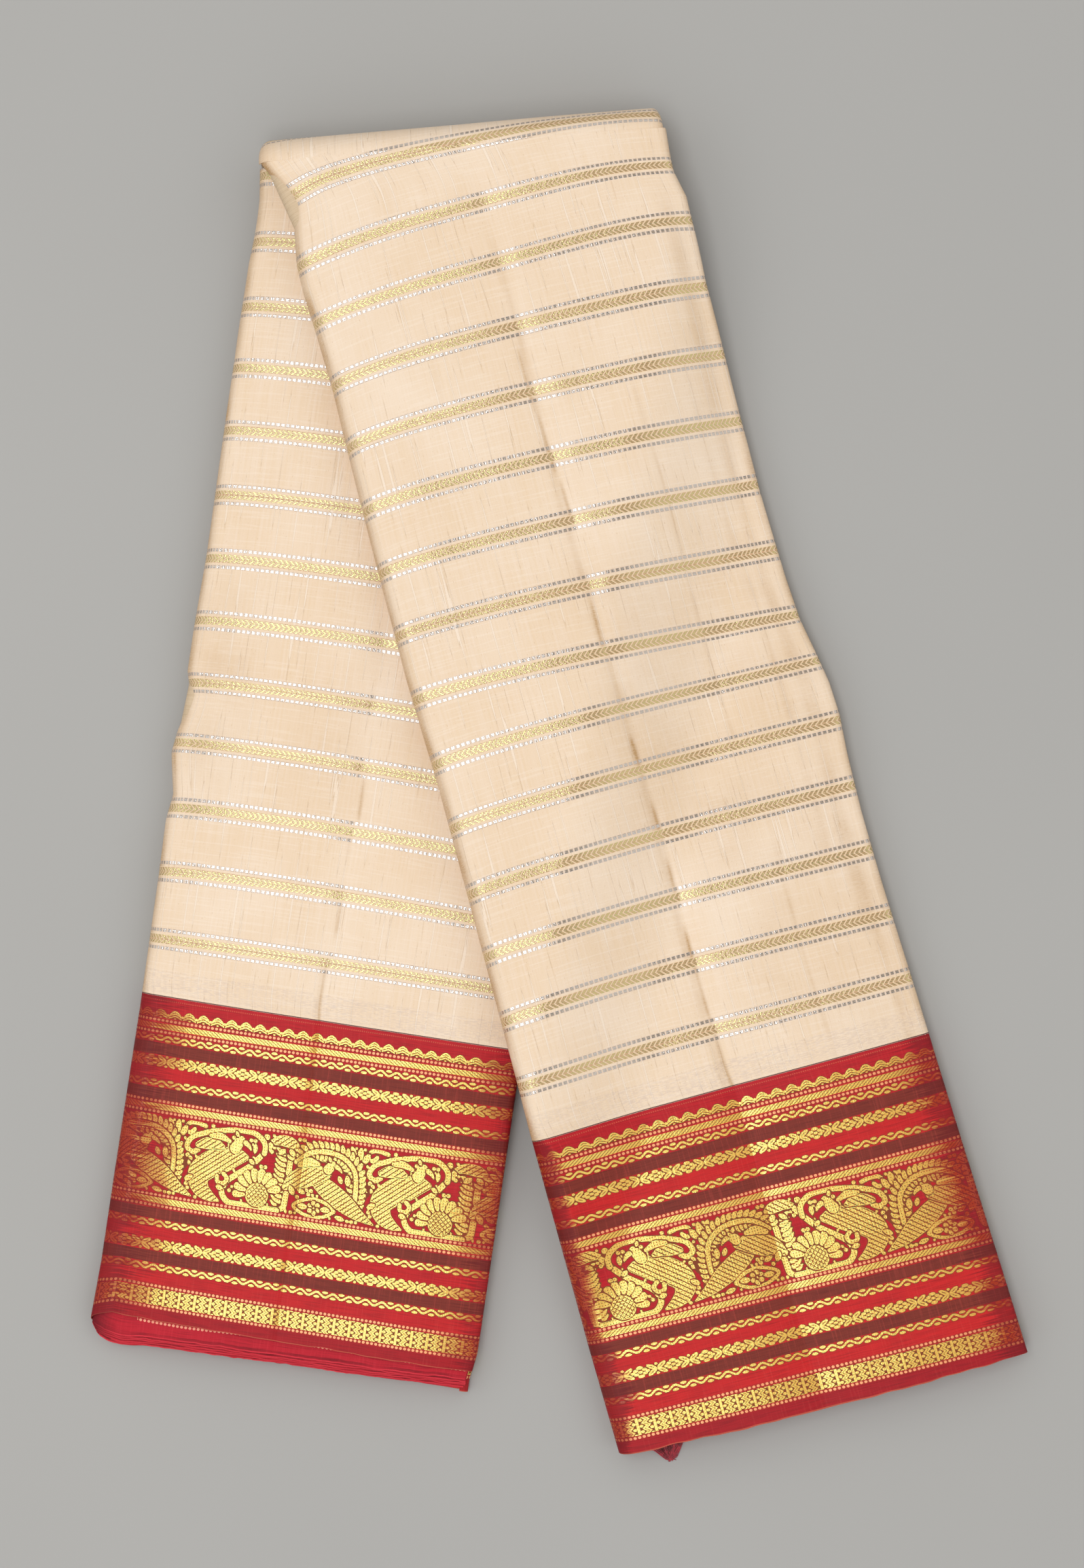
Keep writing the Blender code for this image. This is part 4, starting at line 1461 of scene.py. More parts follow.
    @staticmethod
    def wave(u: Signal, b: Signal) -> Signal:
        """A thick winding vine with a bead in each pocket.

        Args:
            u: The place along the saree.
            b: The place across the band.

        Returns:
            The level of the figure.
        """
        swing = u.zigzag(WAVE_PITCH)
        away = abs(b - swing * (1.5 - swing * swing * 0.5) * 0.98) + swing * swing * 0.16
        low, high = u.repeat(WAVE_PITCH), (u + WAVE_PITCH / 2).repeat(WAVE_PITCH)
        beads = low.within(b - 1.15, 1.5, 0.66) | high.within(b + 1.15, 1.5, 0.66)
        rims = low.within(b - 1.15, 1.8, 0.9) | high.within(b + 1.15, 1.8, 0.9)
        return (away < 0.62) | beads * (away > 0.9) | ((away < 0.9) | rims) * 0.5

    @staticmethod
    def lattice(u: Signal, b: Signal) -> Signal:
        """A cross of four veined leaves, and a flower of lozenges, in turn.

        Args:
            u: The place along the saree.
            b: The place across the band.

        Returns:
            The level of the figure.
        """
        side = abs(u.repeat(LATTICE_PITCH))
        far = abs((u + LATTICE_PITCH / 2).repeat(LATTICE_PITCH))
        rise = abs(b)
        along = (side - 2.3) * 0.87 + (rise - 1.18) * 0.49
        askew = (rise - 1.18) * 0.87 - (side - 2.3) * 0.49
        leaves = along.within(askew, 2.5, 0.98) * (1.0 - along.within(askew, 1.2, 0.14))
        seeds = side.within(rise - 2.15, 0.75, 0.60) | far.within(b, 1.1, 0.64)
        seeds = seeds | (far - 3.4).within(b, 1.05, 0.62)
        lobes = far.within(rise - 1.95, 1.55, 0.78) | (far - 2.0).within(rise - 0.86, 1.15, 0.70)
        bed = (rise < 1.9) | along.within(askew, 2.8, 1.25) | far.within(rise - 1.95, 1.85, 1.05)
        return leaves | seeds | lobes | (bed | side.within(rise - 2.15, 1.0, 0.85)) * 0.5

    @staticmethod
    def scallops(u: Signal, b: Signal) -> Signal:
        """Low peaked mounds with a strand winding below them and a lozenge in each dip.

        Args:
            u: The place along the saree.
            b: The place across the band.

        Returns:
            The level of the figure.
        """
        side, rise = abs(u.repeat(SCALLOP_PITCH)), 2.1 - b
        top = rise + side * 0.05 + side * side * 0.22
        foot = rise + side * 0.4
        mound = (top < 4.1) * (foot > 2.4) * (side < 2.85)
        mound = mound * (1.0 - foot.near(3.3, 0.13) * (side < 1.4))
        strand = foot.near(1.7, 0.38)
        seeds = (side - SCALLOP_PITCH / 2).within(rise - 1.5, 0.95, 0.6) | side.within(rise - 0.4, 0.6, 0.34)
        bed = (rise < 1.9) | (top < 4.4) * (side < 3.1)
        return mound | strand * (side < 3.3) | seeds | bed * 0.5

    @staticmethod
    def boxes(u: Signal, b: Signal) -> Signal:
        """Upright bars, and in each box between them a zigzag of two strands with beads beside it.

        Args:
            u: The place along the saree.
            b: The place across the band.

        Returns:
            The level of the figure.
        """
        across = u.repeat(BOX_PITCH)
        side = abs(across)
        held = abs(b).near(0.0, 3.9)
        away = across - b.zigzag(ZIGZAG_PITCH) * 0.9
        strands = abs(abs(away) - 0.72).near(0.0, 0.60) * (side < 2.95)
        beads = (across - 2.3).within(b.repeat(ZIGZAG_PITCH), 0.88, 0.72)
        beads = beads | (across + 2.3).within((b + ZIGZAG_PITCH / 2).repeat(ZIGZAG_PITCH), 0.88, 0.72)
        gold = (side > 3.25) | strands | beads * (abs(away) > 1.58)
        return held * (gold * 0.5 + 0.5)

    @staticmethod
    def birds(f: Finish, u: Signal, b: Signal) -> Signal:
        """Birds, scrolls and leaves, with hatched, netted and beaded insides.

        Args:
            f: The material.
            u: The place along the saree.
            b: The place across the band.

        Returns:
            The level of the figure.
        """
        away = f.attribute("gold_edge")
        deep = away < -0.25
        hatch = ((u * 0.62 - b * 0.78).repeat(1.9) < -0.50) * (f.attribute("hatched") > 0.5)
        net = abs((u + b).repeat(2.3)).near(0.0, 0.2) | abs((u - b).repeat(2.3)).near(0.0, 0.2)
        net = net * (f.attribute("netted") > 0.5)
        bead = abs(u.repeat(1.3)).near(0.0, 0.2) * abs(b.repeat(1.3)).near(0.0, 0.2)
        return (away < 0.0) * (1.0 - deep * (hatch | net | bead) * 0.5) | (away < 0.4) * 0.5


@dataclass(frozen=True)
class InnerSilk:
    """The cloth of the hidden folds, cream in the field and crimson in the border, with painted shade on the
    turned side and a painted shadow line and highlight at the free edge.
    """

    cream: Colour = (0.74, 0.59, 0.42, 1.0)
    cream_thread: Colour = (0.5, 0.36, 0.22, 1.0)
    crimson: Colour = (0.47, 0.012, 0.026, 1.0)
    edge: Colour = (0.66, 0.035, 0.055, 1.0)
    dark: Colour = (0.14, 0.004, 0.010, 1.0)
    copper: Colour = (0.90, 0.36, 0.24, 1.0)

    def dress(self) -> bpy.types.Material:
        """Makes the material."""
        f = Finish("inner_fold_silk")
        u, v = f.uv("weave")
        thread = f.noise(u, v, 22.0, 0.5)
        rib = f.noise(u, v, 0.9, 12.0)
        uneven = f.noise(u, v, 16.0, 5.0)
        field_silk = f.mix(thread, self.cream, self.cream_thread)
        border_silk = f.layers(
            self.crimson,
            ((thread - 0.52) * 2.2, self.dark),
            ((rib - 0.5) * 0.9, self.edge),
            # A painted shadow line just inside the free edge, and a painted highlight on the edge itself.
            (v.near(-149.1, 0.55) * (uneven * 1.6 - 0.4), self.dark),
            ((v < -149.85) * (uneven + 0.2), self.edge),
            (f.attribute("side_shade"), self.dark),
        )
        dots = u.repeat(1.95).within(f.attribute("from_dots"), 0.68, 0.62)
        colour = f.mix(dots, f.mix(v < 0.0, field_silk, border_silk), self.copper)
        return f.shade(
            {
                "Base Color": colour,
                "Roughness": 0.6,
                "Specular IOR Level": 0.2,
                "Normal": f.bump(thread + rib * 0.5, 0.0002),
            }
        )


@dataclass(frozen=True)
class YarnSilk:
    """Loose silk yarn, with dark patches from noise painted as the shade among its yarns."""

    bright: Colour = (0.62, 0.028, 0.055, 1.0)
    dark: Colour = (0.16, 0.004, 0.012, 1.0)

    def dress(self) -> bpy.types.Material:
        """Makes the material."""
        f = Finish("loose_red_yarn")
        amount = f.solid_noise(420.0)
        return f.shade(
            {
                "Base Color": f.mix((amount - 0.3) * 2.0, self.dark, self.bright),
                "Roughness": 0.6,
                "Normal": f.bump(amount, 0.0001),
                "Sheen Weight": 0.2,
            }
        )


def add_object(name: str, data: bpy.types.ID) -> bpy.types.Object:
    """Puts a mesh, curve, light or camera in the scene."""
    added = bpy.data.objects.new(name, data)
    bpy.context.scene.collection.objects.link(added)
    return added


@dataclass
class Sheet:
    """A sheet of cloth as a grid of points with its weave coordinates.

    Args:
        name: The name of the piece.
        points: Rows of points, in millimetres.
        weave: The u and v of each point.
        flip: Whether the grid's faces point inwards.
        thickness: The thickness of the cloth.
    """

    name: str
    points: np.ndarray
    weave: np.ndarray
    flip: bool = False
    thickness: float = CLOTH

    def build(self, material: bpy.types.Material) -> bpy.types.Object:
        """Makes the mesh, and gives the cloth its thickness inwards.

        Args:
            material: Its finish.

        Returns:
            The piece.
        """
        rows, columns = self.points.shape[:2]
        bm = bmesh.new()
        bmesh.ops.create_grid(bm, x_segments=columns - 1, y_segments=rows - 1, size=1.0)
        for vertex, point in zip(bm.verts, self.points.reshape(-1, 3) * MM):
            vertex.co = point
        if self.flip:
            bmesh.ops.reverse_faces(bm, faces=bm.faces)
        for face in bm.faces:
            face.smooth = True
        for edge in bm.edges:
            edge.smooth = not edge.is_boundary
        mesh = bpy.data.meshes.new(self.name)
        bm.to_mesh(mesh)
        bm.free()
        self.write_uv(mesh, "weave", self.weave.reshape(-1, 2)[self.corners(mesh)])
        mesh.materials.append(material)
        piece = add_object(self.name, mesh)
        solidify = piece.modifiers.new("cloth thickness", "SOLIDIFY")
        solidify.thickness = self.thickness * MM
        solidify.offset = -1.0
        solidify.use_even_offset = False
        return piece

    @staticmethod
    def corners(mesh: bpy.types.Mesh) -> np.ndarray:
        """The vertex of each face corner."""
        found = np.zeros(len(mesh.loops), np.int32)
        mesh.loops.foreach_get("vertex_index", found)
        return found

    @staticmethod
    def write_uv(mesh: bpy.types.Mesh, name: str, values: np.ndarray) -> None:
        """Writes one UV map, corner by corner."""
        layer = mesh.uv_layers.new(name=name)
        layer.data.foreach_set("uv", values.astype(np.float32).ravel())

    @staticmethod
    def write_number(mesh: bpy.types.Mesh, name: str, domain: str, values: np.ndarray) -> None:
        """Writes one number for each vertex or face."""
        layer = mesh.attributes.new(name, "FLOAT", domain)
        layer.data.foreach_set("value", values.astype(np.float32).ravel())


def crowded(count: int, *fine: tuple[float, float, int]) -> np.ndarray:
    """Shares from 0 to 1, with closer stretches.

    Args:
        count: How many even shares there are.
        fine: For each close stretch, its two ends and its count.

    Returns:
        The shares, rising.
    """
    found = [np.linspace(0.0, 1.0, count)]
    for low, high, number in fine:
        found[0] = found[0][(found[0] < low) | (found[0] > high)]
        found.append(np.linspace(low, high, number))
    return np.unique(np.round(np.concatenate(found), 6))


@dataclass
class FieldCloth:
    """The cream outer cloth of one leg."""

    leg: Leg
    spacing: float = 2.7
    outline: Outline = Outline(
        np.linspace(0.0, 1.0, 24), 12, crowded(64, (0.465, 0.535, 22), (0.73, 0.78, 9)), 6
    )

    def build(self, material: bpy.types.Material) -> bpy.types.Object:
        """Makes the sheet, whose first and last rows lie under the crease and the border.

        Args:
            material: Its finish.

        Returns:
            The piece.
        """
        leg = self.leg
        along = np.linspace(-0.6, leg.join, int(leg.join / self.spacing))
        points, weave = leg.skin(along, self.outline, 0.0)
        tuck, tuck_weave = leg.skin(np.array([leg.join + 0.9]), self.outline, 0.25)
        points = np.concatenate([points, tuck])
        weave = np.concatenate([weave, tuck_weave])
        share = np.clip(weave[..., 0] / leg.girth_width, 0.0, 1.0)
        weave[..., 0] = leg.repeat_at(weave[..., 0])
        piece = Sheet(f"{leg.side.value}_field_cloth", points, weave, flip=True).build(material)
        rows = np.concatenate([along, [leg.join]])[:, None]
        Sheet.write_number(piece.data, "crease_shade", "POINT", leg.crease_shade(rows, share))
        return piece


@dataclass
class BorderCloth:
    """The red and gold border at the free end of one leg.

    Args:
        leg: The leg.
        plain_spacing: The most between two rows of the sheet.
        bird_spacing: The same in the band of birds.
        wider_wear_and_shade: How far below the join the front leg's left side has its wear and painted shade
            reach further in.
        bulge: How far the middle of the front leg's free edge stands out.
        outline: Where the points of a section lie.
        band: The band of birds.
    """

    leg: Leg
    plain_spacing: float = 2.1
    bird_spacing: float = 0.64
    wider_wear_and_shade: tuple[float, float] = (96.0, 133.5)
    bulge: float = 1.6
    outline: Outline = Outline(np.linspace(0.0, 1.0, 42), 20, np.linspace(0.0, 1.0, 272), 8)
    band: BirdBand = BirdBand()

    def rows(self) -> np.ndarray:
        """How far below the join each row of the sheet lies."""
        marks = {0.0, BORDER_DEPTH}
        marks |= {edge for band in BANDS for edge in (band.low, band.high)}
        marks |= {ground.until for ground in GROUNDS}
        marks = sorted(marks)
        found = []
        for low, high in zip(marks, marks[1:]):
            birds = low >= MOTIF_LOW - 0.01 and high <= MOTIF_HIGH + 0.01
            spacing = self.bird_spacing if birds else self.plain_spacing
            count = max(1, math.ceil((high - low) / spacing))
            found += list(np.linspace(low, high, count + 1)[:-1])
        return np.array([*found, marks[-1]])

    def build(self, material: bpy.types.Material) -> bpy.types.Object:
        """Makes the sheet with the places and the figures of its bands.

        Args:
            material: Its finish.

        Returns:
            The piece.
        """
        leg = self.leg
        below = self.rows()
        along = leg.join + below / BORDER_DEPTH * (leg.end - leg.join)
        points, weave = leg.skin(along, self.outline, 0.0)
        share = weave[..., 0] / leg.girth_width
        weave[..., 0] = leg.repeat_at(weave[..., 0])
        weave[..., 1] = -below[:, None]
        sheet = Sheet(f"{leg.side.value}_border_cloth", self.frayed(points), weave, flip=True)
        piece = sheet.build(material)
        self.figure(piece.data, below, weave)
        Sheet.write_number(piece.data, "faded_and_shaded", "POINT", self.faded_and_shaded(below[:, None], share))
        return piece

    def faded_and_shaded(self, below: np.ndarray, share: np.ndarray) -> np.ndarray:
        """How far the gold wears off near the sides, and how far the sides are painted dull and in shade.

        Args:
            below: Distances below the join.
            share: Shares across the leg, below 0 round its turned side.

        Returns:
            A number from 0 to 1 at each place.
        """
        low, high = self.wider_wear_and_shade
        wider = blend((below - low) / 4.0) * blend((high - below) / 3.0)
        wider = wider * (self.leg.side is Side.FRONT) * (share < 0.2)
        uneven = Ripple(self.leg.seed + 3, 8.0, 40.0).at(share * 30.0, below)
        return np.interp(share / (1 + 0.45 * wider) + 0.012 * uneven, *FADED_AND_SHADED[self.leg.side])

    def frayed(self, points: np.ndarray) -> np.ndarray:
        """Lets the free edge run a little unevenly.

        Args:
            points: The points of the sheet, whose last row is moved.

        Returns:
            The same points.
        """
        last = points[-1] - points[-2]
        last /= np.linalg.norm(last, axis=-1)[:, None]
        at = np.arange(points.shape[1], dtype=float)
        wander = Ripple(self.leg.seed + 5, 9.0, 60.0).at(at, np.zeros_like(at)) * 0.45
        share = np.linspace(0.0, 1.0, points.shape[1])
        bulge = self.bulge * (self.leg.side is Side.FRONT)
        wander = wander + bulge * np.sin(math.pi * share) ** 2
        points[-1] += last * wander[:, None]
        return points

    def figure(self, mesh: bpy.types.Mesh, below: np.ndarray, weave: np.ndarray) -> None:
        """Writes the kind, ground and local places of the bands into the mesh.

        Args:
            mesh: The mesh.
            below: How far below the join each row lies.
            weave: The u and v of each point.
        """
        columns = weave.shape[1]
        corners = Sheet.corners(mesh)
        rows = np.array([face.vertices[:] for face in mesh.polygons]).min(axis=1) // columns
        middles = (below[rows] + below[rows + 1]) / 2
        kinds = np.full(len(rows), float(Weave.PLAIN.value))
        centres = middles.copy()
        for band in BANDS:
            held = (middles > band.low) & (middles < band.high)
            kinds[held] = band.weave.value
            centres[held] = (band.low + band.high) / 2
        limits = np.array([ground.until for ground in GROUNDS])
        tones = np.array([ground.tone for ground in GROUNDS])[np.searchsorted(limits, middles)]
        tones = np.where(tones == BRIGHT_GROUND, BRIGHTNESS[self.leg.side], tones)
        Sheet.write_number(mesh, "kind", "FACE", kinds)
        Sheet.write_number(mesh, "tone", "FACE", tones)
        at = weave.reshape(-1, 2)[corners]
        local = np.stack([at[:, 0], -at[:, 1] - np.repeat(centres, 4)], axis=1)
        Sheet.write_uv(mesh, "band", local)
        flat = weave.reshape(-1, 2)
        charts = self.band.read(flat[:, 0], MOTIF_HIGH + flat[:, 1])
        for name, chart in zip(("gold_edge", "hatched", "netted"), charts):
            Sheet.write_number(mesh, name, "POINT", chart)


@dataclass
class InnerFolds:
    """The hidden folds of one leg, each a sheet that turns inside the one before.

    Args:
        leg: The leg.
        short: For each fold, how far its upper half stops short of the lowest cloth's edge.
        low_short: How far its lower half does.
        lip: How far past the end of the outer cloth the lowest cloth reaches, at shares across.
        columns: How many places across each half has.
        first_depth: How far inside the outer cloth the first fold lies.
        depth_step: How far inside each other the folds lie.
    """

    leg: Leg
    short: tuple[float, ...]
    low_short: tuple[float, ...]
    lip: tuple[tuple[float, ...], tuple[float, ...]]
    columns: int
    first_depth: float = 1.1
    depth_step: float = 1.0

    def build(self, material: bpy.types.Material) -> list[bpy.types.Object]:
        """Makes one sheet for each fold."""
        return [self.fold(number, material) for number in range(len(self.short))]

    def fold(self, number: int, material: bpy.types.Material) -> bpy.types.Object:
        """One sheet, from the folded side below, round the turned side, to the folded side on top.

        Args:
            number: Which fold it is, from the outside.
            material: Its finish.

        Returns:
            The piece.
        """
        leg = self.leg
        depth = self.first_depth + self.depth_step * number
        near = leg.end - 34.0
        along = np.concatenate([np.arange(2.0, near, 26.0), np.linspace(near, leg.end, 14)])
        rows = along[:, None]
        reach = leg.turn_reach(rows)
        base = leg.width(rows) - FOLD_SIDE_REACH
        lobe = (leg.pack(rows, base / leg.width(rows)) - PARTING_HEIGHT) / 2
        nearest = np.clip(depth / lobe, 0.02, 0.98)
        right = base + (FOLD_SIDE_REACH - WALL) * np.sqrt(1 - (2 * nearest - 1) ** 2) - 0.4
        bend = np.linspace(0.0, 1.0, 13)[None, 1:-1]
        angle = math.pi * (bend - 0.5)
        share = np.linspace(0.0, 1.0, self.columns)[None, :]
        stretches = (
            (right - (right - reach) * share, np.zeros_like(share)),
            (reach - (reach - depth * 0.8) * np.cos(angle), (1 + np.sin(angle)) / 2),
            (reach + (right - reach) * share, np.ones_like(share)),
        )
        grids = [np.broadcast_arrays(*stretch) for stretch in stretches]
        across, height = (np.concatenate(column, axis=1) for column in zip(*grids))
        near_end = blend((rows - leg.end + 30.0) / 30.0)
        rise = height * 60.0
        slow = Ripple(leg.seed * 7 + number, 30.0, 110.0).at(across, rise)
        quick = Ripple(leg.seed * 3 + number, 4.0, 16.0).at(across, rise)
        share_across = np.clip(across / leg.width(rows), 0.0, 1.0)
        reach_out = np.interp(share_across, *self.lip) + 0.35 * slow + 0.25 * quick
        low_short = self.low_short[number]
        reach_out = reach_out - low_short - (self.short[number] - low_short) * height
        place = rows + near_end * reach_out
        points = leg.place(place, across, height, depth)
        droop = near_end * (0.25 + 0.25 * Ripple(leg.seed * 5 + number, 20.0, 60.0).at(across, rise))
        points[..., 2] -= droop * np.clip(2 * height - 1, 0, 1)
        u = way(points[-1, :, :2])[None, :] + number * 31.0
        v = leg.cloth_at(np.broadcast_to(rows, across.shape), across / leg.width(rows))
        weave = np.stack([np.broadcast_to(u, across.shape), v], axis=-1)
        name = f"{leg.side.value}_inner_fold_{number + 1}"
        piece = Sheet(name, points, weave, flip=True, thickness=INNER_CLOTH).build(material)
        hidden = (height < 1.0) | (share_across < 0.11) | (leg.side is Side.FRONT) | (number > 0)
        from_dots = place - leg.end - 1.1 + 1.5 * blend((share_across - 0.22) / 0.2)
        side_shade = 0.95 * blend(1 - share_across / 0.075) * (height > 0.4)
        Sheet.write_number(piece.data, "from_dots", "POINT", np.where(hidden, NO_DOTS, from_dots))
        Sheet.write_number(piece.data, "side_shade", "POINT", side_shade)
        return piece


@dataclass
class CreaseCloth:
    """The cloth that turns over the crease, and the smaller folds inside it."""

    count: int = 64
    steps: int = 22
    inner_scales: tuple[float, ...] = (0.9, 0.74, 0.58, 0.42)

    def section(self, share: float, inset: float, scale: float = 1.0) -> np.ndarray:
        """One section of the round, from the front leg's top to the back leg's underside.

        Args:
            share: Its place along the crease.
            inset: How far inside the outer cloth it lies.
            scale: Its size against the outer round.

        Returns:
            The points of the section.
        """
        ends = [leg.edges(np.array(0.0)) for leg in (FRONT, BACK)]
        start = (ends[0][0] + ends[1][0]) / 2
        stop = (ends[0][1] + ends[1][1]) / 2
        run = (stop - start) / np.linalg.norm(stop - start)
        outward = np.array([-run[1], run[0]])
        along = np.array(0.0)
        width = float(FRONT.width(along))
        across = share * width
        reach = float(FRONT.turn_reach(along))
        left_round = math.sqrt(1 - (1 - min(across / reach, 1.0)) ** 2)
        right_round = math.sqrt(1 - (1 - min((width - across) / FOLD_SIDE_REACH, 1.0)) ** 2)
        held = np.array(np.clip(across, reach, width - FOLD_SIDE_REACH) / width)
        front, back = float(FRONT.pack(along, held)), float(BACK.pack(along, held))
        top = PACK_THICKNESS + GAP + front + float(FRONT.relief(along, held)) * left_round
        top -= (1 - left_round) * front / 2 + (1 - right_round) * front / 4
        low = (1 - left_round) * back / 2 + (1 - right_round) * front / 4
        half = ((top - low) / 2 - inset) * scale
        depth = CREASE_REACH * (CREASE_LEAST + (1 - CREASE_LEAST) * min(left_round, right_round))
        depth = (depth + CREASE_BOW * math.sin(math.pi * share) - inset) * scale
        foot = start + (stop - start) * share
        angle = math.pi * (0.5 - np.linspace(0.0, 1.0, self.steps + 1))
        plan = foot + outward * (depth * np.cos(angle))[:, None]
        return np.column_stack([plan, (top + low) / 2 + half * np.sin(angle)])

    def shares(self) -> np.ndarray:
        """Places along the crease, closer together at its two ends."""
        return 0.5 - 0.5 * np.cos(math.pi * np.linspace(0.0, 1.0, self.count))

    def build(self, material: bpy.types.Material) -> bpy.types.Object:
        """Makes the outer cloth over the crease.

        Args:
            material: Its finish.

        Returns:
            The piece.
        """
        shares = self.shares()
        points = np.array([self.section(share, 0.0) for share in shares])
        steps = np.linalg.norm(np.diff(points, axis=1), axis=-1)
        away = np.concatenate([np.zeros((len(shares), 1)), np.cumsum(steps, axis=1)], axis=1)
        u = (shares * float(FRONT.width(np.array(0.0))) - FRONT.repeat_start)[:, None]
        v = FRONT.cloth_at(np.zeros(len(shares)), shares)[:, None] + away
        weave = np.stack([np.broadcast_to(u, v.shape), v], axis=-1)
        piece = Sheet("crease_cloth", points, weave, flip=True).build(material)
        # Painted shade at the two rounded ends of the crease.
        tone = 0.35 * blend(1 - shares / 0.05) + 0.3 * blend((shares - 0.96) / 0.04)
        Sheet.write_number(piece.data, "crease_shade", "POINT", np.broadcast_to(tone[:, None], v.shape))
        return piece

    def build_inner(self, material: bpy.types.Material) -> list[bpy.types.Object]:
        """Makes the folds inside the crease, each a little shorter at the folded side.

        Args:
            material: Their finish.

        Returns:
            The pieces, from the outside in.
        """
        found = []
        for number, scale in enumerate(self.inner_scales):
            shares = np.linspace(0.03, 1.0 - 0.002 * number, 30)
            points = np.array([self.section(share, WALL, scale) for share in shares])
            u = np.broadcast_to((shares * COUNTED_WIDTH)[:, None], points.shape[:2])
            v = np.broadcast_to(np.linspace(480.0, 520.0, self.steps + 1)[None, :], points.shape[:2])
            weave = np.stack([u, v], axis=-1)
            name = f"crease_inner_fold_{number + 1}"
            piece = Sheet(name, points, weave, flip=True, thickness=INNER_CLOTH).build(material)
            Sheet.write_number(piece.data, "from_dots", "POINT", np.full(weave.shape[:2], NO_DOTS))
            found.append(piece)
        return found


@dataclass
class YarnTuft:
    """The tuft of loose red yarn, drawn to a point, that stands out from under the front leg's end."""

    place: float = 0.115
    width: float = 19.6
    yarns: int = 150
    thickness: float = 0.34
    root: float = 4.0
    drawn_out: float = 10.5
    steps: int = 6

    def build(self, material: bpy.types.Material) -> bpy.types.Object:
        """Draws the yarns as thin curved tubes and makes one mesh of them.

        Args:
            material: Its finish.

        Returns:
            The piece.
        """
        left, right = FRONT.edges(np.array(FRONT.end))
        across = (right - left) / np.linalg.norm(right - left)
        outward = np.array([across[1], -across[0]])
        middle = left + (right - left) * self.place
        rng = np.random.default_rng(8)
        curve = bpy.data.curves.new("end_yarn_lines", "CURVE")
        curve.dimensions = "3D"
        curve.bevel_depth = self.thickness / 2 * MM
        curve.bevel_resolution = 0
        curve.use_fill_caps = True
        for _ in range(self.yarns):
            side = float(np.clip(rng.uniform(-1.0, 1.0) * 1.15, -1.0, 1.0))
            is_long = rng.random() < 0.55 + 0.4 * abs(side)
            length = rng.uniform(8.0, 10.8) if is_long else rng.uniform(2.5, 6.5)
            stray = rng.normal(0.0, 0.9)
            curl = rng.normal(0.0, 0.6)
            rise = rng.uniform(0.7, 2.8)
            spline = curve.splines.new("POLY")
            spline.points.add(self.steps)
            for step, point in enumerate(spline.points):
                t = step / self.steps
                out = -self.root + (self.root + length) * t
                drawn = max(0.0, out / self.drawn_out)
                shift = side * self.width / 2 * (1 - drawn) + stray * drawn
                shift = shift + curl * math.sin(3.0 * t + side * 5)
                plan = middle + across * shift + outward * out
                height = max(0.25, rise * (1 - t * t) + 0.35 * math.sin(5 * t + side * 9))
                point.co = (plan[0] * MM, plan[1] * MM, height * MM, 1.0)
        return mesh_of_curve("end_yarn_tuft", curve, material)


def mesh_of_curve(name: str, curve: bpy.types.Curve, material: bpy.types.Material) -> bpy.types.Object:
    """Makes a mesh piece of a bevelled curve.

    Args:
        name: The name of the piece.
        curve: The curve.
        material: Its finish.

    Returns:
        The piece.
    """
    drawn = add_object(f"{name}_lines", curve)
    bpy.context.view_layer.update()
    graph = bpy.context.evaluated_depsgraph_get()
    mesh = bpy.data.meshes.new_from_object(drawn.evaluated_get(graph))
    bpy.data.objects.remove(drawn, do_unlink=True)
    mesh.name = name
    mesh.materials.clear()
    mesh.materials.append(material)
    mesh.shade_smooth()
    return add_object(name, mesh)


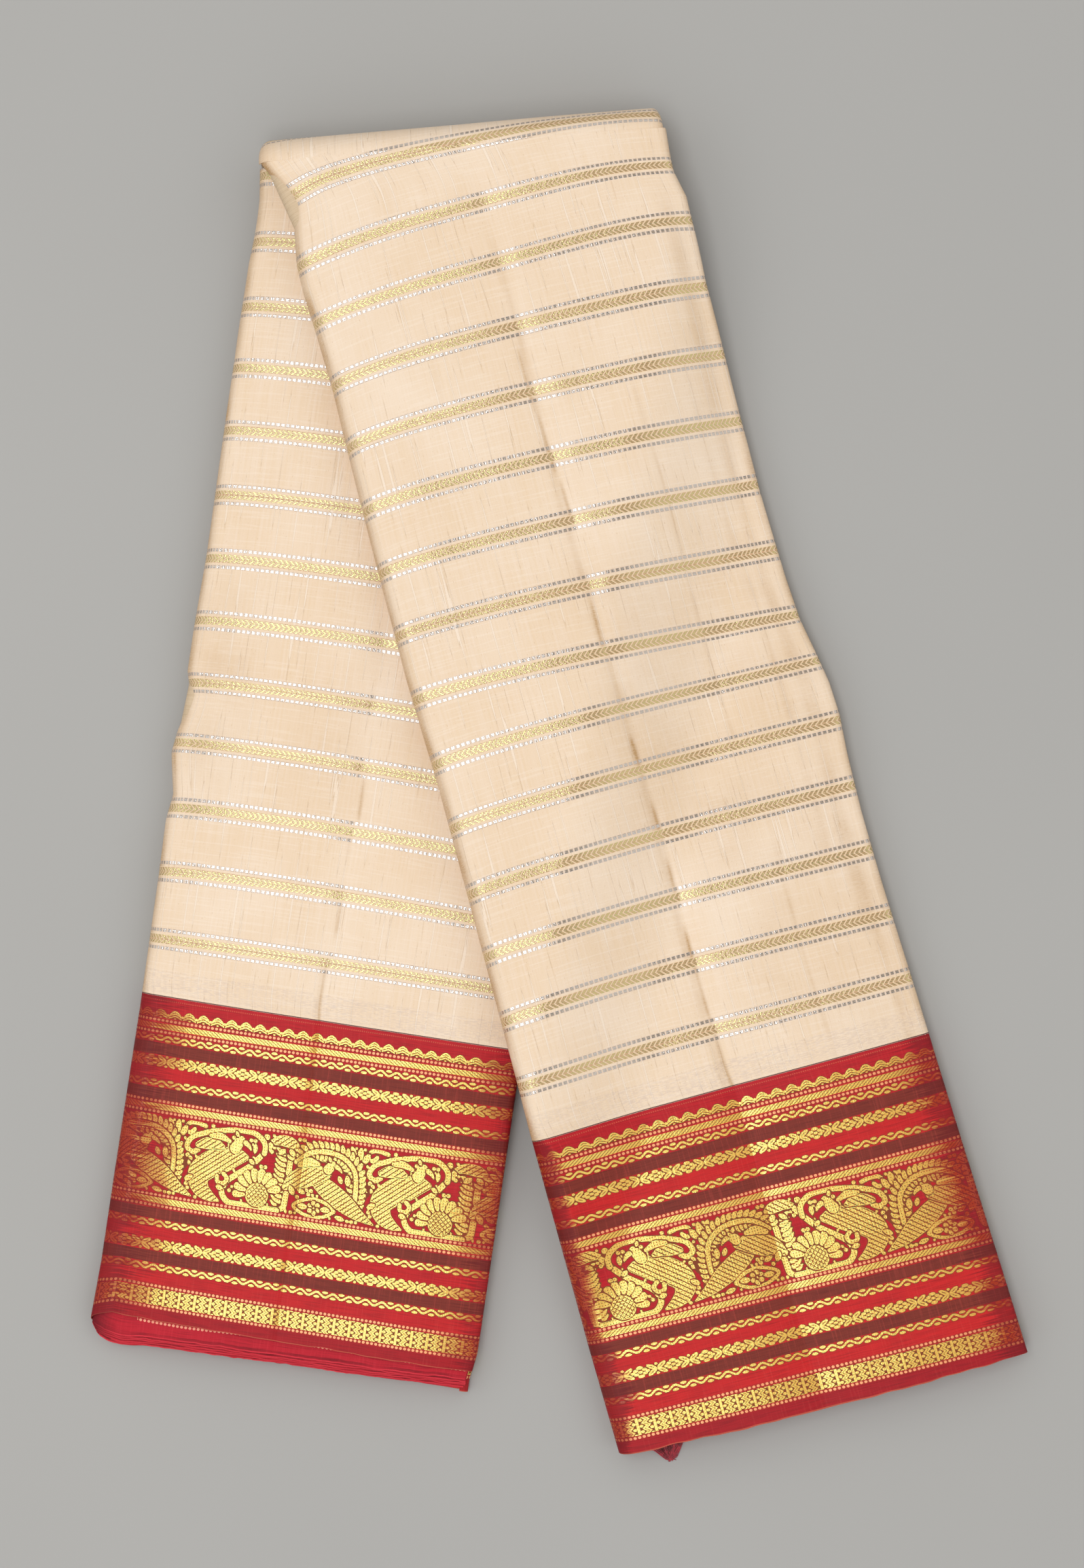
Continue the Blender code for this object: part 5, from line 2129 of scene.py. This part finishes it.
@dataclass
class Studio:
    """The pale floor, the soft lights and the camera straight above."""

    eye: tuple[float, float, float] = (-0.0084, 0.0027, 1.6)
    lens: float = 78.44
    sensor: float = 36.0
    box_height: float = 2.4
    box_size: tuple[float, float] = (0.93, 2.1)
    box_edge: tuple[float, float] = (-0.0193, -0.0053)
    box_turn: float = 15.5
    box_power: float = 26.5
    sky_power: float = 1.24
    sky: Course = ((0.0, 0.10), (0.22, 0.45), (0.5, 0.95), (0.8, 0.7), (0.93, 0.16))
    floor_tints: tuple[Colour, Colour] = ((0.37, 0.365, 0.355, 1.0), (0.40, 0.395, 0.385, 1.0))
    floor_drop: float = 0.0004

    def build(self) -> None:
        """Makes the floor, the lights, the surroundings and the camera."""
        self.floor()
        self.softbox()
        self.surroundings()
        bpy.context.scene.view_settings.view_transform = "Standard"
        camera = add_object("camera", bpy.data.cameras.new("camera"))
        camera.location = self.eye
        camera.data.lens = self.lens
        camera.data.sensor_width = self.sensor
        camera.data.clip_start = 0.05
        bpy.context.scene.camera = camera

    def floor(self) -> None:
        """Makes the plain pale floor."""
        bm = bmesh.new()
        bmesh.ops.create_grid(bm, x_segments=2, y_segments=2, size=4.0)
        mesh = bpy.data.meshes.new("floor")
        bm.to_mesh(mesh)
        bm.free()
        finish = Finish("pale_floor")
        tint = finish.mix(finish.solid_noise(3.0), *self.floor_tints)
        mesh.materials.append(finish.shade({"Base Color": tint, "Roughness": 0.85}))
        floor = add_object("floor", mesh)
        floor.location.z = -self.floor_drop

    def softbox(self) -> None:
        """Hangs one large soft light overhead, its right side along the upper leg."""
        data = bpy.data.lights.new("overhead softbox", "AREA")
        data.shape = "RECTANGLE"
        data.size, data.size_y = self.box_size
        data.energy = self.box_power
        lamp = add_object("overhead softbox", data)
        turn = math.radians(self.box_turn)
        lamp.rotation_euler = (0.0, 0.0, turn)
        half = self.box_size[0] / 2
        lamp.location = (
            self.box_edge[0] - half * math.cos(turn),
            self.box_edge[1] - half * math.sin(turn),
            self.box_height,
        )

    def surroundings(self) -> None:
        """Lights the room softly from all sides, dimmer overhead and at the floor."""
        sky = Finish("studio", world=True)
        place = sky.node("ShaderNodeTexCoord").outputs["Generated"]
        parts = sky.node("ShaderNodeSeparateXYZ", sockets={0: place})
        stops = tuple((at, (level, level * 0.99, level * 0.96, 1.0)) for at, level in self.sky)
        ramp = sky.node("ShaderNodeValToRGB", {"stops": stops}, {0: parts.outputs[2]})
        glow = sky.node("ShaderNodeBackground", sockets={0: ramp.outputs[0], 1: self.sky_power})
        sky.node("ShaderNodeOutputWorld", sockets={0: glow.outputs[0]})
        bpy.context.scene.world = sky.owner


def settle(
    piece: bpy.types.Object,
    slot: str,
    node: str,
    flat: tuple[float, float] | None = None,
    rests_on: str = "",
) -> None:
    """Attaches a piece to the root, hides the solid that it stands for and logs its faces.

    Args:
        piece: The piece.
        slot: The material slot of the record for its finish; not used.
        node: The node of the solids that it stands for.
        flat: The width and length that a sheet was cut to, in metres; not used.
        rests_on: What a sheet rests on; not used.
    """
    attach(piece, "root")
    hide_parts(node)
    LOG.info("%s: %d faces", piece.name, len(piece.data.polygons))


def main() -> None:
    """Builds the saree piece by piece and lights it."""
    logging.basicConfig(level=logging.INFO, format="%(name)s: %(message)s")
    cream = FieldSilk().dress()
    crimson = BorderSilk().dress()
    inner = InnerSilk().dress()
    yarn = YarnSilk().dress()
    crease = CreaseCloth()
    outer = (
        (FieldCloth(FRONT), cream, "field_silk", "front_field", (0.385, 0.445), "front_layers"),
        (BorderCloth(FRONT), crimson, "border_silk", "front_border", (0.395, 0.152), "front_layers"),
        (FieldCloth(BACK), cream, "field_silk", "back_field", (0.385, 0.41), "back_layers"),
        (BorderCloth(BACK), crimson, "border_silk", "back_border", (0.365, 0.15), "back_layers"),
        (crease, cream, "field_silk", "crease_turn", (0.187, 0.045), "crease_layers"),
    )
    for cloth, finish, *rest in outer:
        settle(cloth.build(finish), *rest)
    for number, piece in enumerate(crease.build_inner(inner)):
        flat = (0.18, 0.032 - 0.005 * number)
        settle(piece, "hidden_layers", "crease_layers", flat, "crease_turn")
    front_lip = ((0.0, 1.0), (-1.6, -1.6))
    folds = (
        InnerFolds(FRONT, (0.8, 0.6, 0.4, 0.2, 0.0), (0.0, 0.1, 0.2, 0.3, 0.4), front_lip, 40),
        InnerFolds(BACK, (5.4, 4.3, 3.3, 2.2, 1.2), (0.0, 0.15, 0.3, 0.45, 0.6), BACK_LIP, 110),
    )
    for hidden in folds:
        side, flat = hidden.leg.side.value, (0.36, hidden.leg.end * MM)
        for piece in hidden.build(inner):
            settle(piece, "hidden_layers", f"{side}_layers", flat, f"{side}_border")
    settle(YarnTuft().build(yarn), "loose_yarn", "end_fringe")
    Studio().build()


if __name__ == "__main__":
    main()
